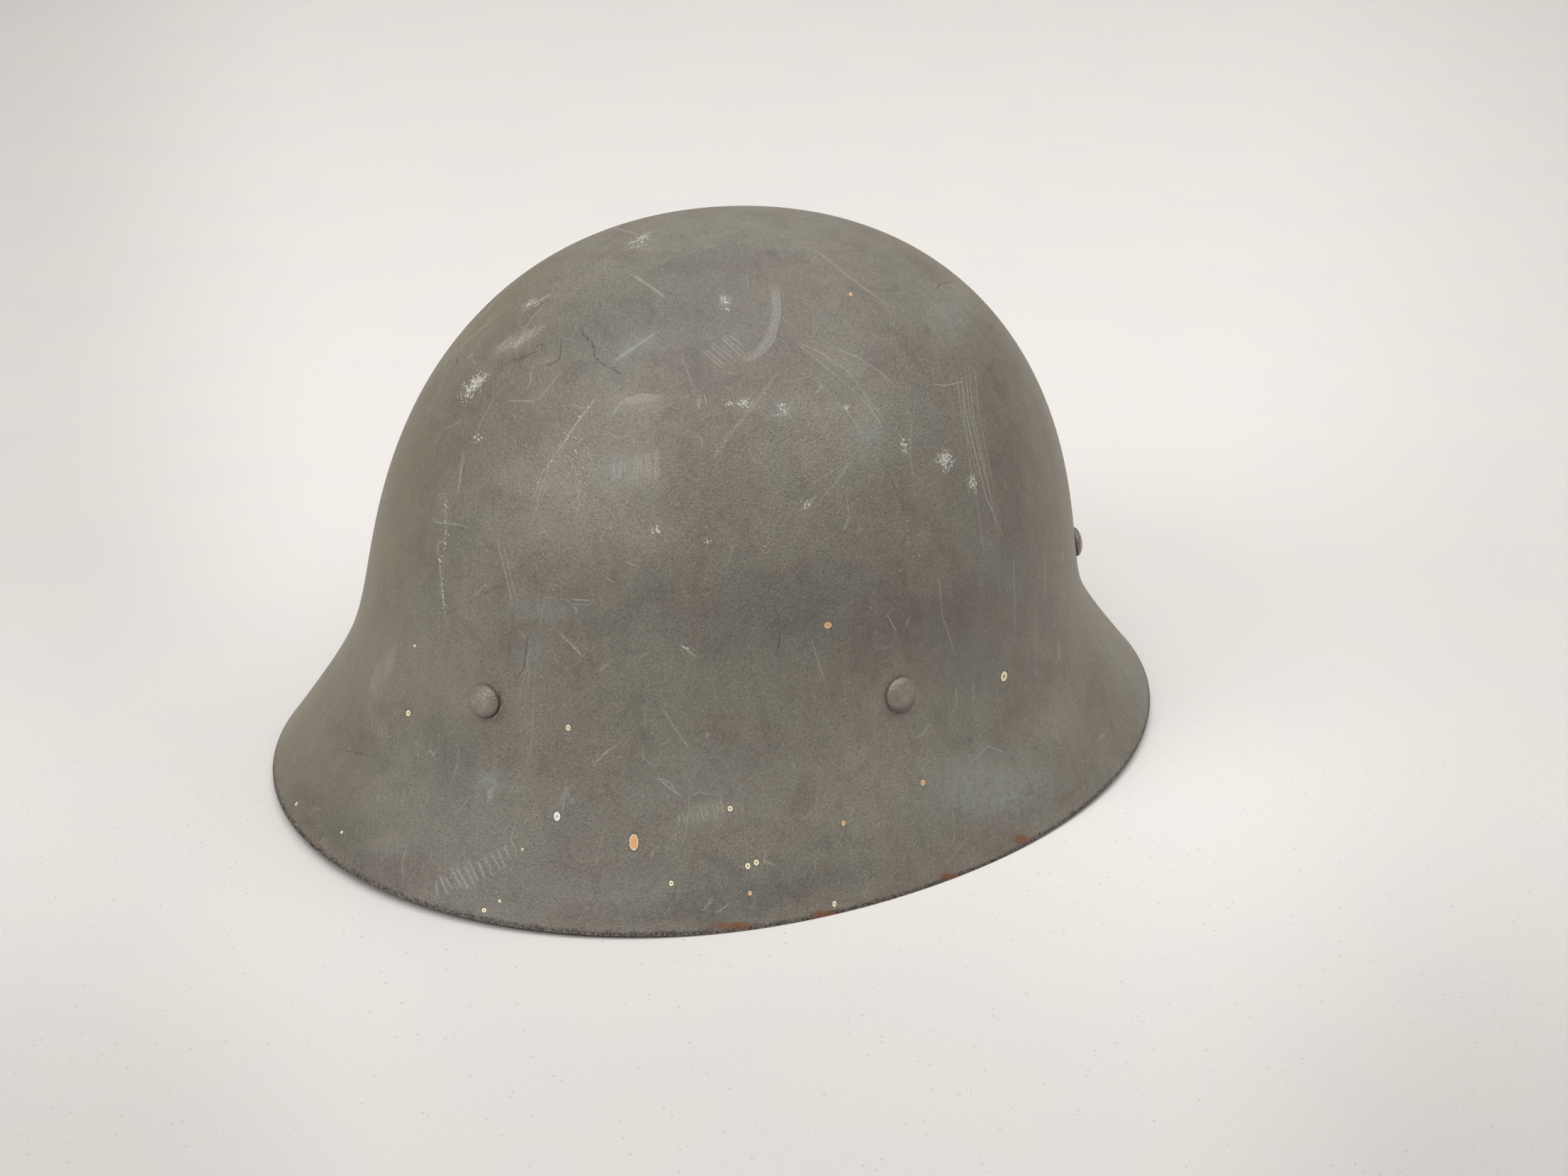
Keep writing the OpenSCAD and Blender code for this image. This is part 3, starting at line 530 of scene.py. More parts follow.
@dataclass(frozen=True)
class Studio:
    """Pale floor with a swept-up back and painted light fall-off, a pale surround and soft lamps."""

    floor_tone: str = "e2ded9"
    reach: float = 7.0
    sweep: float = 2.5
    surround: float = 0.31
    lamps: tuple[SoftLamp, ...] = (
        SoftLamp("window_lamp", azimuth=5, elevation=36, distance=2.6, width=1.2, power=19),
        SoftLamp("key_lamp", azimuth=20, elevation=72, distance=2.6, width=1.7, power=20.5),
        SoftLamp("camera_lamp", azimuth=59, elevation=45, distance=2.6, width=1.7, power=14),
        SoftLamp("right_lamp", azimuth=149, elevation=45, distance=2.6, width=1.7, power=13),
        SoftLamp("far_lamp", azimuth=180, elevation=68, distance=2.6, width=1.7, power=13.5),
        SoftLamp("back_lamp", azimuth=-121, elevation=40, distance=2.6, width=1.7, power=6.5),
    )

    def make(self) -> None:
        """Creates the floor, the surround and the lamps."""
        bpy.context.scene.view_settings.view_transform = "Standard"
        g = Graph("studio_floor")
        at = g.place()
        tooth = g.noise(at, 0.9, 2, 0.6)
        cloud = g.noise(at, 60, 2, 0.5)
        x, y = at.part(0), at.part(1)
        level, deep = x * 0.52 + y * 0.855, y * 0.52 - x * 0.855
        side = level / (deep + 783.0).most(100.0)
        near = deep.step(200, -150)
        # The floor's brightness is painted light: paler far behind the helmet, darker to the left, to the
        # right and towards the camera.
        left = side.step(-0.16, -0.3) * (deep.step(-50, 150) + 1) * 0.095
        light = (1.04 + deep.step(50, 350) * 0.04 - left
                 - side.step(0.2, 0.38) * 0.13 - deep.step(-40, -270) * 0.2)
        tone = g.blend(cloud.step(0.4, 0.7) * 0.2, self.floor_tone, "dcd9dc")
        tone = g.scaled(tone, light * (1 + (tooth - 0.5) * near * 0.16))
        tone = g.blend(g.dots(at, 5.0, 0.06) * (near * 0.4 + 0.1), tone, "8f8a84")
        material = g.finish(Base_Color=tone, Roughness=0.9, Normal=g.bump(tooth, 0.12, 0.5),
                            Specular_IOR_Level=0.2)
        count, rings = 96, [0.0, 0.25, 0.5, 1.0, 2.0, self.reach - self.sweep]
        profile = [(r, 0.0) for r in rings]
        for i in range(1, 17):
            turn = math.pi / 2 * i / 16
            profile.append((self.reach - self.sweep + self.sweep * math.sin(turn),
                            self.sweep * (1 - math.cos(turn))))
        profile.append((self.reach, self.sweep + 2.0))
        turns = np.linspace(0, 2 * math.pi, count, endpoint=False)
        points = [[0.0, 0.0, 0.0]]
        for r, z in profile[1:]:
            points += [[r * math.cos(t) * 1000, r * math.sin(t) * 1000, z * 1000] for t in turns]
        faces: list[tuple[int, ...]] = [(0, 1 + i, 1 + (i + 1) % count) for i in range(count)]
        faces += [face[::-1] for face in quads(len(profile) - 1, count, 1, closed=True)]
        make_object("studio_floor", np.array(points), faces, material)
        world = bpy.data.worlds.new("surround")
        world.use_nodes = True
        back = world.node_tree.nodes["Background"]
        back.inputs["Color"].default_value = (1.0, 0.992, 0.98, 1.0)
        back.inputs["Strength"].default_value = self.surround
        bpy.context.scene.world = world
        for lamp in self.lamps:
            lamp.make()


# Shell


@dataclass(frozen=True)
class ShellForm:
    """Sizes of the pressed shell, in millimetres, and its surface."""

    dome_half_w: float = 104.0
    dome_front: float = 122.5
    dome_back: float = 126.5
    shell_h: float = 182.5
    foot_z: float = 45.0
    fullness: float = 2.27
    bend_z: float = 45.0
    soft_front: float = 22.0
    soft_back: float = 15.0
    flare_front: float = 38.5
    flare_back: float = 36.0
    flare_side: float = 22.5
    rise_front: float = 3.1
    rise_back: float = 4.9
    rim_trim: float = 0.3
    wall: float = 1.2
    crown_y: float = -0.75

    def _round(self, side: Numbers, front: Numbers, back: Numbers, a: Numbers) -> Numbers:
        """Returns a size that changes round the plan.

        Args:
            side: its value at the sides.
            front: at the front.
            back: at the back.
            a: angle from the front.

        Returns:
            The size at the angle.
        """
        c = np.cos(a)
        return side + ((front + back) / 2 - side) * c**2 + (front - back) / 2 * c

    def rim_z(self, a: Numbers) -> Numbers:
        """Returns the rim's height at angle a."""
        return np.maximum(0, self._round(0, self.rise_front, self.rise_back, a) - self.rim_trim)

    def radius(self, a: Numbers, z: Numbers) -> Numbers:
        """Returns the distance from the crown's axis to the outside at angle a and height z.

        Args:
            a: angle from the front.
            z: height.

        Returns:
            The distance.
        """
        a, z = np.broadcast_arrays(np.asarray(a, float), np.asarray(z, float))
        half_l = np.where(np.cos(a) > 0, self.dome_front, self.dome_back)
        plan = 1 / np.hypot(np.sin(a) / self.dome_half_w, np.cos(a) / half_l)
        flare = self._round(self.flare_side, self.flare_front, self.flare_back, a)
        soft = mix(self.soft_back, self.soft_front, (1 + np.cos(a)) / 2)

        def reach(height: Numbers) -> Numbers:
            """Returns how far the flare has come in at a height."""
            return np.hypot(self.bend_z - height, soft) + self.bend_z - height

        high = np.clip((z - self.foot_z) / (self.shell_h - self.foot_z), 0, 1)
        share = (1 - high**self.fullness) ** (1 / self.fullness)
        return share * (plan + flare * reach(z) / reach(self.rim_z(a)))

    def at(self, a: Numbers, r: Numbers, z: Numbers) -> np.ndarray:
        """Returns the point at angle a, distance r from the crown's axis and height z."""
        a, r, z = np.broadcast_arrays(np.asarray(a, float), np.asarray(r, float),
                                      np.asarray(z, float))
        return np.stack([r * np.sin(a), self.crown_y - r * np.cos(a), z], axis=-1)

    def point(self, a: Numbers, z: Numbers) -> np.ndarray:
        """Returns the point of the outside at angle a and height z."""
        return self.at(a, self.radius(a, z), z)

    def normal(self, a: Numbers, z: Numbers) -> np.ndarray:
        """Returns the outward normal at angle a and height z, away from the crown.

        Args:
            a: angle from the front.
            z: height.

        Returns:
            The unit normal.
        """
        da, dz = 0.01, 0.05
        round_way = self.point(a + da, z) - self.point(a - da, z)
        down = self.point(a, z - dz) - self.point(a, z)
        return unit(np.cross(down, round_way))


class Ink(Enum):
    """What a mark does to the paint."""

    VEIL = "paler chalky film"
    COOL = "bluish green film"
    WARM = "ochre film"
    # Darker patches: partly dark spots in the paint, partly painted shade and painted shadow.
    DARK_SPOTS_AND_PAINTED_SHADE = "darker patch"
    BARE = "bright rubbed spot"
    SPECK = "powdery pale specks"
    # Lighter patches: partly paint worn lighter, partly painted light and painted highlight.
    GLOW = "area worn lighter"
    RUST = "rust"
    LINE = "pale scratch"
    # Dark scratches, and a few strokes that are painted shadows.
    CRACK_AND_PAINTED_SHADOW = "dark scratch"


@dataclass(frozen=True)
class Patch:
    """A soft oval mark, placed by a pixel of the photograph."""

    ink: Ink
    x: float
    y: float
    half_x: float
    half_y: float
    strength: float = 1.0
    turn: float = 0.0


@dataclass(frozen=True)
class Stroke:
    """A drawn line, placed by pixels of the photograph."""

    ink: Ink
    path: tuple[tuple[float, float], ...]
    half: float = 1.2
    strength: float = 1.0


def hatch(start: tuple[float, float], end: tuple[float, float], count: int,
          tick: tuple[float, float], half: float, strength: float, ink: Ink) -> list[Stroke]:
    """Lays a row of short parallel scratches.

    Args:
        start: pixel of the first scratch's middle.
        end: pixel of the last one's middle.
        count: how many there are.
        tick: pixels from a scratch's middle to its end.
        half: half its width in pixels.
        strength: how clearly it shows.
        ink: what the scratches do.

    Returns:
        The strokes.
    """
    rng = np.random.default_rng(int(start[0] + 7 * start[1]))
    out = []
    for i in range(count):
        t = i / max(1, count - 1)
        x, y = mix(start[0], end[0], t), mix(start[1], end[1], t)
        grow = rng.uniform(0.6, 1.15)
        dx, dy = tick[0] * grow + rng.normal(0, 1.0), tick[1] * grow
        x, y = x + rng.normal(0, 1.5), y + rng.normal(0, 2.0)
        out.append(Stroke(ink, ((x - dx, y - dy), (x + dx, y + dy)), half,
                          strength * rng.uniform(0.5, 1.0)))
    return out


class Fleck(Enum):
    """Kind of small chip in the paint."""

    CREAM = "cream undercoat with a darker middle"
    PALE = "white and blue grey"
    ORANGE = "orange primer"


# How deep a chip of paint reaches, in millimetres
CHIP_DEPTH = 0.6

# The photograph's pixels per millimetre of the shell, and per radian round its wall
PX_PER_MM = 4.13
UNROLL = 112 * PX_PER_MM

# Chips: x, y and half sizes.
CHIPS: dict[Fleck, tuple[tuple[float, float, float, float], ...]] = {
    Fleck.CREAM: (
        (576, 1006, 3.4, 4.6), (801.5, 1026.5, 3.6, 4.8), (947, 1246, 3.4, 4),
        (683, 1284, 3.4, 3.4), (705, 1271, 2.3, 2.3), (1030, 1140.5, 4, 4.4),
        (1055, 1221.5, 3.8, 4.8), (1067, 1216.7, 3.8, 4.4), (1416.5, 954, 4.4, 7.4),
        (1177, 1275, 2.8, 4.6), (482, 1174, 2.2, 2.2), (418, 1134, 2.2, 2.2), (585, 911, 2, 2.2),
        (737, 1198, 1.8, 2.2),
    ),
    Fleck.PALE: (
        (785.7, 1151.5, 4.8, 6.8),
    ),
    Fleck.ORANGE: (
        (894, 1188, 6.6, 12.0), (1302, 1104, 3.4, 4.4), (1190, 1161, 3.2, 4.2),
        (1058, 1260, 3, 3.4), (1168, 882, 5.4, 4.6), (1200, 415, 2.6, 2.6),
    ),
}

# Patches: x, y, half sizes and strength, then a turn in degrees where it isn't 0.
PATCHES: dict[Ink, tuple[tuple[float, ...], ...]] = {
    Ink.BARE: (
        (672, 540, 8, 22, 0.5, 40), (732, 482, 8, 28, 0.3, 62), (745, 429, 6, 4, 0.6, -20),
        (908, 334, 9, 4, 0.6, -20), (1023, 421, 5, 6, 0.5), (1051, 567, 12, 4, 0.75),
        (1104, 571, 6, 4, 0.8), (1194, 574, 5, 4, 0.8), (1276, 636, 4, 4, 0.9),
        (1333, 649, 8, 9, 0.55, 15), (1371, 674, 4, 5, 0.5), (1136, 712, 4, 4, 0.7),
        (999, 760, 3, 5, 0.8),
    ),
    Ink.SPECK: (
        (668, 545, 16, 34, 1.0, 40), (752, 428, 20, 9, 0.8, -20), (900, 342, 26, 12, 0.8, -20),
        (1024, 430, 8, 14, 0.9), (1040, 572, 26, 10, 0.8), (1106, 577, 16, 12, 0.9),
        (1276, 626, 9, 14, 0.9), (1334, 650, 18, 20, 1.0), (1372, 683, 10, 17, 0.9),
        (1138, 713, 13, 10, 0.9), (1160, 732, 8, 20, 0.5), (673, 618, 14, 9, 0.9),
        (816, 652, 36, 74, 0.5), (928, 747, 14, 10, 0.9), (999, 757, 6, 18, 0.9),
        (915, 752, 16, 9, 0.8, -25), (965, 912, 12, 8, 0.7, 30), (1080, 765, 14, 24, 0.45),
        (902, 1052, 180, 60, 0.3), (560, 1010, 60, 110, 0.35), (1290, 1060, 120, 70, 0.35),
        (780, 990, 60, 80, 0.3),
    ),
    Ink.VEIL: (
        (731, 480, 42, 13, 1.0, -28), (912, 350, 24, 16, 0.6), (1024, 428, 14, 14, 0.5),
        (1139, 714, 16, 14, 0.5), (892, 655, 34, 24, 0.9), (900, 568, 42, 15, 0.8),
        (1000, 1144, 44, 14, 0.8, -12), (538, 946, 26, 60, 0.6, 12), (545, 1190, 40, 18, 0.5),
        (620, 960, 60, 40, 0.35), (1341, 407, 26, 11, 0.8), (1195, 515, 62, 15, 0.6, 30),
        (1222, 588, 24, 26, 0.6, 30),
    ),
    Ink.COOL: (
        (866, 665, 30, 26, 0.8), (896, 488, 36, 16, 0.8, -30), (1105, 579, 18, 14, 0.9),
        (1227, 611, 22, 22, 0.9), (692, 1102, 20, 15, 1.0), (755, 861, 52, 16, 0.7),
        (752, 920, 24, 30, 0.8), (1394, 1112, 90, 54, 1.0), (900, 1260, 120, 30, 0.5),
        (1010, 1100, 120, 60, 0.45), (1348, 446, 26, 34, 0.9),
    ),
    Ink.WARM: (
        (552, 780, 12, 36, 0.9), (560, 700, 60, 260, 0.45, 12), (690, 430, 150, 40, 0.4, -40),
        (520, 960, 120, 120, 0.4), (862, 842, 22, 16, 0.6), (470, 1080, 90, 120, 0.35),
    ),
    # Lighter ovals: some are paint worn lighter, others are painted light, such as the broad painted
    # highlight near 800, 700 and the lighter areas beside the rivets.
    Ink.GLOW: (
        (790, 685, 110, 85, 0.16, -20), (640, 480, 60, 60, 0.2), (800, 715, 90, 66, 0.27, -10),
        (900, 752, 60, 40, 0.12), (935, 602, 46, 34, 0.14), (1000, 738, 36, 30, 0.1),
        (1292, 745, 26, 100, 0.14), (740, 545, 34, 60, 0.12), (622, 575, 26, 70, 0.1, 20),
        (800, 395, 110, 36, 0.14, -32), (690, 870, 60, 60, 0.09), (1180, 610, 60, 80, 0.08),
        (900, 640, 60, 60, 0.06), (1240, 1040, 90, 110, 0.1), (740, 1030, 60, 60, 0.1),
        (1345, 425, 46, 60, 0.2, 40), (1175, 640, 60, 40, 0.12), (1160, 578, 60, 16, 0.14),
        (1060, 570, 90, 20, 0.1), (700, 972, 62, 30, 0.22, -25), (1268, 970, 46, 34, 0.18),
        (595, 925, 26, 46, 0.15), (575, 1090, 60, 60, 0.08), (1215, 1090, 90, 60, 0.16),
        (1400, 1100, 56, 44, 0.18), (1485, 1010, 28, 40, 0.2), (650, 860, 26, 22, 0.12),
        (1070, 1150, 90, 24, 0.12),
    ),
    # Darker ovals: some are dents and dark spots in the paint, others are painted shade, such as the dark
    # band at mid height near 1040, 868, the darker crown near 990, 405 and the skirt's dark foot near 780,
    # 1235. The last three are painted shadows under the rivet heads.
    Ink.DARK_SPOTS_AND_PAINTED_SHADE: (
        (1055, 368, 52, 22, 0.13), (970, 465, 150, 46, 0.1, 12), (990, 405, 110, 56, 0.15),
        (540, 990, 150, 240, 0.09), (815, 480, 60, 40, 0.11), (1290, 435, 26, 40, 0.1),
        (1040, 868, 250, 60, 0.15), (1375, 945, 90, 36, 0.12), (1440, 785, 34, 50, 0.1),
        (636, 1095, 40, 60, 0.17), (500, 1185, 110, 50, 0.15, 38), (780, 1235, 300, 90, 0.12),
        (1090, 1262, 140, 40, 0.1, -8), (830, 1120, 70, 50, 0.08), (640, 1050, 80, 40, 0.07),
        (850, 430, 80, 60, 0.06), (1100, 480, 16, 34, 0.12), (1000, 535, 80, 18, 0.08),
        (660, 575, 26, 36, 0.1), (585, 720, 26, 90, 0.06), (655, 765, 18, 28, 0.1),
        (940, 806, 56, 30, 0.08), (830, 845, 60, 40, 0.08), (1190, 850, 170, 70, 0.1),
        (1060, 850, 50, 34, 0.06), (1360, 855, 70, 50, 0.15), (1320, 900, 40, 30, 0.08),
        (1210, 910, 80, 34, 0.07), (1425, 690, 34, 130, 0.13), (1310, 640, 44, 90, 0.08),
        (1475, 870, 26, 40, 0.1), (455, 1150, 90, 34, 0.14, 38), (1030, 1262, 120, 26, 0.14, -6),
        (930, 1292, 120, 16, 0.14), (1190, 1234, 70, 22, 0.13, -12), (1320, 1165, 46, 34, 0.1),
        (1470, 1132, 70, 26, 0.13, -35), (1600, 1000, 26, 70, 0.1), (820, 1170, 20, 40, 0.1),
        (1089, 357, 9, 7, 0.2), (1397, 461, 5, 4, 0.3), (1397, 519, 5, 4, 0.3),
        (726, 511, 16, 8, 0.16), (703, 1002, 9, 14, 0.4, -35), (690, 1014, 13, 6, 0.4),
        (1266, 1006, 17, 6, 0.4),
    ),
    Ink.RUST: (
        (1018, 1306, 22, 7, 0.8), (645, 508, 4, 4, 0.7), (1044, 1306, 22, 7, 1.0),
        (1163, 1290, 30, 8, 0.9), (1340, 1237, 20, 7, 0.9), (1440, 1184, 18, 8, 0.9),
        (448, 1194, 8, 5, 0.7), (1240, 1270, 120, 6, 0.5), (930, 1310, 26, 6, 0.5),
        (1510, 1120, 40, 8, 0.5, -45), (676, 967, 13, 4, 0.55, -25),
    ),
}

# Strokes: half width, strength and corners.
STROKES: dict[Ink, tuple[tuple, ...]] = {
    Ink.LINE: (
        (7.0, 0.4, ((1092, 400), (1095, 441), (1086, 476), (1067, 500), (1047, 507))),
        (1.2, 0.6, ((1098, 402), (1101, 441), (1092, 480), (1072, 504))),
        (3.0, 0.22, ((1102, 519), (1078, 550), (1059, 578), (1030, 612), (1001, 653))),
        (1.6, 0.7, ((843, 559), (820, 588), (803, 612), (785, 640))),
        (1.0, 0.5, ((783, 640), (764, 668), (752, 705))),
        (1.0, 0.45, ((778, 652), (762, 690), (756, 716))),
        (6.0, 0.35, ((880, 568), (902, 562), (930, 562))),
        (1.2, 0.4, ((624, 520), (632, 506), (644, 494), (700, 446))),
        (1.3, 0.5, ((736, 470), (752, 446), (770, 428))),
        (1.0, 0.5, ((622, 606), (640, 600), (652, 592))),
        (1.0, 0.5, ((762, 560), (778, 542), (790, 526))),
        (1.1, 0.5, ((655, 640), (650, 672), (647, 700))),
        (1.1, 0.6, ((803, 900), (812, 912), (821, 925))),
        (1.6, 0.6, ((845, 947), (852, 940), (860, 935))),
        (1.3, 0.5, ((930, 1098), (945, 1104), (955, 1118))),
        (1.4, 0.8, ((745, 431), (760, 424), (775, 416))),
        (2.2, 0.5, ((894, 389), (915, 402), (939, 420))),
        (1.4, 0.5, ((898, 330), (870, 322), (850, 322))),
        (1.2, 0.4, ((1121, 480), (1160, 499), (1196, 524), (1222, 560), (1242, 601))),
        (1.2, 0.45, ((1172, 488), (1205, 502), (1240, 523), (1273, 554))),
        (1.1, 0.7, ((1189, 572), (1215, 608))),
        (1.1, 0.45, ((1145, 348), (1199, 391), (1261, 437))),
        (1.1, 0.7, ((1355, 519), (1362, 581), (1390, 698), (1417, 760))),
        (1.0, 0.5, ((1361, 519), (1368, 581), (1396, 698))),
        (1.0, 0.4, ((1349, 523), (1356, 585), (1384, 690))),
        (1.0, 0.45, ((1366, 510), (1372, 580), (1396, 690), (1408, 760))),
        (0.9, 0.4, ((1375, 512), (1380, 580), (1402, 690))),
        (1.0, 0.45, ((1124, 484), (1168, 520), (1210, 556))),
        (1.1, 0.6, ((1359, 538), (1333, 544), (1316, 542))),
        (1.6, 0.8, ((1372, 675), (1378, 698))), (1.4, 0.6, ((716, 565), (752, 566))),
        (1.2, 0.7, ((610, 731), (617, 737), (641, 739), (663, 744))),
        (1.3, 0.4, ((629, 701), (629, 760), (617, 768), (629, 879))),
        (1.0, 0.6, ((1214, 560), (1230, 580), (1245, 601))),
        (0.9, 0.4, ((1220, 556), (1236, 577), (1251, 598))),
        (1.0, 0.5, ((1092, 566), (1106, 578), (1120, 592))),
        (1.6, 0.5, ((861, 588), (878, 566), (905, 556), (937, 560))),
        (2.6, 0.45, ((864, 511), (895, 490), (927, 468))),
        (1.2, 0.6, ((1324, 640), (1330, 652), (1333, 664))),
        (1.0, 0.4, ((1064, 718), (1072, 732), (1078, 748))),
        (1.0, 0.6, ((1033, 770), (1031, 782))), (1.2, 0.8, ((884, 792), (897, 800))),
        (1.1, 0.6, ((854, 814), (866, 822))),
        (0.9, 0.5, ((1357, 560), (1366, 640), (1378, 710), (1390, 790))),
        (1.0, 0.35, ((1286, 586), (1284, 640), (1290, 700))),
        (1.0, 0.6, ((1103, 893), (1101, 905))),
        (1.1, 0.7, ((706, 1000), (700, 1010), (692, 1016))),
        (1.2, 0.55, ((1292, 1040), (1304, 1034), (1310, 1024))),
        (1.1, 0.5, ((653, 638), (645, 697))), (1.1, 0.6, ((701, 760), (724, 855))),
        (1.0, 0.4, ((708, 760), (731, 855))), (1.0, 0.8, ((807, 845), (835, 848))),
        (1.0, 0.6, ((807, 852), (833, 854))), (1.4, 0.8, ((791, 894), (804, 907), (819, 924))),
        (1.2, 0.7, ((839, 1078), (852, 1063), (872, 1050))),
        (1.6, 0.8, ((961, 910), (972, 919), (981, 926))),
        (1.1, 0.5, ((1324, 806), (1329, 868), (1348, 925))),
        (1.1, 0.5, ((1144, 901), (1166, 969))), (1.2, 0.6, ((1251, 865), (1265, 892))),
        (0.9, 0.7, ((1368, 1079), (1394, 1052), (1421, 1063))),
        (1.1, 0.6, ((1348, 969), (1350, 995))), (1.1, 0.6, ((1372, 964), (1374, 986))),
        (1.2, 0.4, ((1430, 784), (1432, 890))), (1.2, 0.4, ((1474, 784), (1475, 841))),
        (1.8, 0.5, ((935, 1000), (952, 1028), (972, 1055))),
        (1.5, 0.6, ((928, 1096), (942, 1110), (962, 1124))),
        (1.2, 0.8, ((993, 1283), (1002, 1272))), (1.2, 0.8, ((1012, 1287), (1028, 1276))),
    ),
    Ink.SPECK: (
        (4.5, 0.75, ((627, 680), (630, 758), (620, 790), (629, 880))),
        (4.0, 0.6, ((1281, 728), (1281, 750), (1282, 772))),
        (4.0, 0.6, ((1292, 761), (1299, 785), (1304, 810))),
        (3.5, 0.5, ((1306, 718), (1309, 740), (1310, 760))),
        (6.0, 0.6, ((843, 560), (807, 598), (795, 626), (771, 657), (744, 712))),
        (5.0, 0.4, ((1102, 519), (1078, 550), (1059, 578), (1030, 612), (1001, 653))),
        (4.0, 0.8, ((906, 756), (918, 748), (933, 742))),
        (3.5, 0.8, ((962, 908), (972, 916), (982, 925))),
        (7.0, 0.35, ((1092, 400), (1095, 441), (1086, 476), (1067, 500))),
    ),
    Ink.CRACK_AND_PAINTED_SHADOW: (
        (2.2, 0.35, ((819, 460), (831, 483), (841, 507), (858, 519), (874, 526))),
        (1.2, 0.65, ((791, 480), (790, 503), (785, 511), (766, 517))),
        (2.0, 0.45, ((718, 509), (736, 505), (763, 493))),
        (1.0, 0.6, ((1244, 651), (1261, 684), (1269, 704), (1277, 728))),
        (1.0, 0.7, ((744, 896), (740, 942), (726, 962))), (0.8, 0.4, ((629, 867), (704, 827))),
        (1.1, 0.7, ((1320, 408), (1328, 400), (1345, 398))),
        (1.1, 0.8, ((1102, 894), (1097, 916))),
        (0.9, 0.45, ((480, 1057), (500, 1062), (530, 1066))),
        # The last two strokes are painted shadows along the lower edges of the two rivet heads.
        (2.6, 0.8, ((704, 976), (706, 990), (701, 1004), (690, 1012), (676, 1011))),
        (2.2, 0.7, ((1288, 992), (1281, 1003), (1268, 1006), (1256, 1001), (1250, 990))),
    ),
}

# Hatches: first and last middle, count, tick, half width and strength.
HATCHES: dict[Ink, tuple[tuple, ...]] = {
    Ink.CRACK_AND_PAINTED_SHADOW: (
        ((822, 466), (840, 502), 10, (3, 5), 1.2, 0.8),
        ((842, 508), (874, 526), 9, (5, 3), 1.2, 0.7),
        ((724, 513), (766, 491), 9, (3, 4), 1.3, 0.5),
    ),
    Ink.LINE: (
        ((614, 1256), (716, 1205), 12, (7, 14), 2.4, 0.6),
        ((864, 665), (881, 660), 5, (1, 13), 1.3, 0.6),
        ((893, 660), (926, 655), 9, (1, 20), 1.4, 0.7),
        ((985, 566), (995, 564), 3, (1, 8), 1.1, 0.8),
        ((1003, 505), (1040, 485), 8, (14, 12), 1.3, 0.6),
        ((660, 549), (681, 533), 7, (8, -12), 1.8, 1.0),
        ((708, 490), (758, 468), 10, (7, -8), 2.4, 0.65),
        ((1325, 643), (1341, 657), 5, (7, -6), 1.6, 1.0),
        ((1329, 652), (1337, 642), 4, (4, 7), 1.4, 0.9),
        ((1368, 672), (1376, 694), 5, (4, -3), 1.5, 0.9),
        ((1044, 566), (1060, 571), 4, (3, -4), 1.4, 0.9),
        ((1098, 586), (1114, 572), 5, (4, -2), 1.3, 0.8),
        ((1131, 719), (1145, 706), 5, (4, -2), 1.4, 0.9),
        ((899, 339), (915, 330), 4, (6, -2), 1.7, 0.9),
        ((740, 432), (751, 426), 4, (3, -3), 1.8, 0.9),
        ((1019, 421), (1028, 421), 3, (0, 6), 1.7, 1.0),
        ((1272, 616), (1278, 640), 5, (1, 3), 1.4, 0.9),
        ((1030, 528), (1004, 640), 7, (9, 3), 1.6, 0.35),
        ((520, 1030), (546, 1030), 5, (1, 8), 1.6, 0.35),
        ((960, 1156), (1020, 1138), 9, (2, 10), 1.6, 0.6),
        ((528, 960), (556, 930), 6, (-4, 22), 2.2, 0.35),
    ),
}


def drawn_marks() -> tuple[list[Patch], list[Stroke]]:
    """Returns the marks that the photograph shows."""
    patches = [Patch(ink, *mark) for ink, marks in PATCHES.items() for mark in marks]
    strokes = [Stroke(ink, path, half, strength) for ink, marks in STROKES.items()
               for half, strength, path in marks]
    for ink, rows in HATCHES.items():
        for row in rows:
            strokes += hatch(*row, ink)
    return patches, strokes


def line_field(where: np.ndarray, path: Sequence[Sequence[float]], half: float
               ) -> tuple[np.ndarray, np.ndarray]:
    """Measures points against a drawn line.

    Args:
        where: points in the plane of the line.
        path: the line's corners.
        half: half its width.

    Returns:
        Signed distance in half widths, and how much of the line's strength is left there, which
        falls to nothing past its ends and far from it.
    """
    best = np.full(len(where), np.inf)
    side = np.zeros(len(where))
    past = np.zeros(len(where))
    corners = np.asarray(path, float)
    total = np.linalg.norm(np.diff(corners, axis=0), axis=1).sum()
    run = 0.0
    for p, q in zip(corners[:-1], corners[1:]):
        way = q - p
        length = np.linalg.norm(way)
        way = way / length
        rel = where - p
        along = rel @ way
        across = rel @ np.array([-way[1], way[0]])
        gap = np.hypot(across, np.maximum(0, np.maximum(-along, along - length)))
        near = gap < best
        best = np.where(near, gap, best)
        side = np.where(near, across, side)
        past = np.where(near, run + along, past)
        run += length
    fade = max(4.0, 0.12 * total)
    keep = np.clip((past + 1.5) / fade, 0, 1) * np.clip((total + 1.5 - past) / fade, 0, 1)
    limit = half + 7.0
    keep = keep * np.clip((limit + 4 - best) / 4, 0, 1)
    return np.clip(side / half, -12, 12), keep


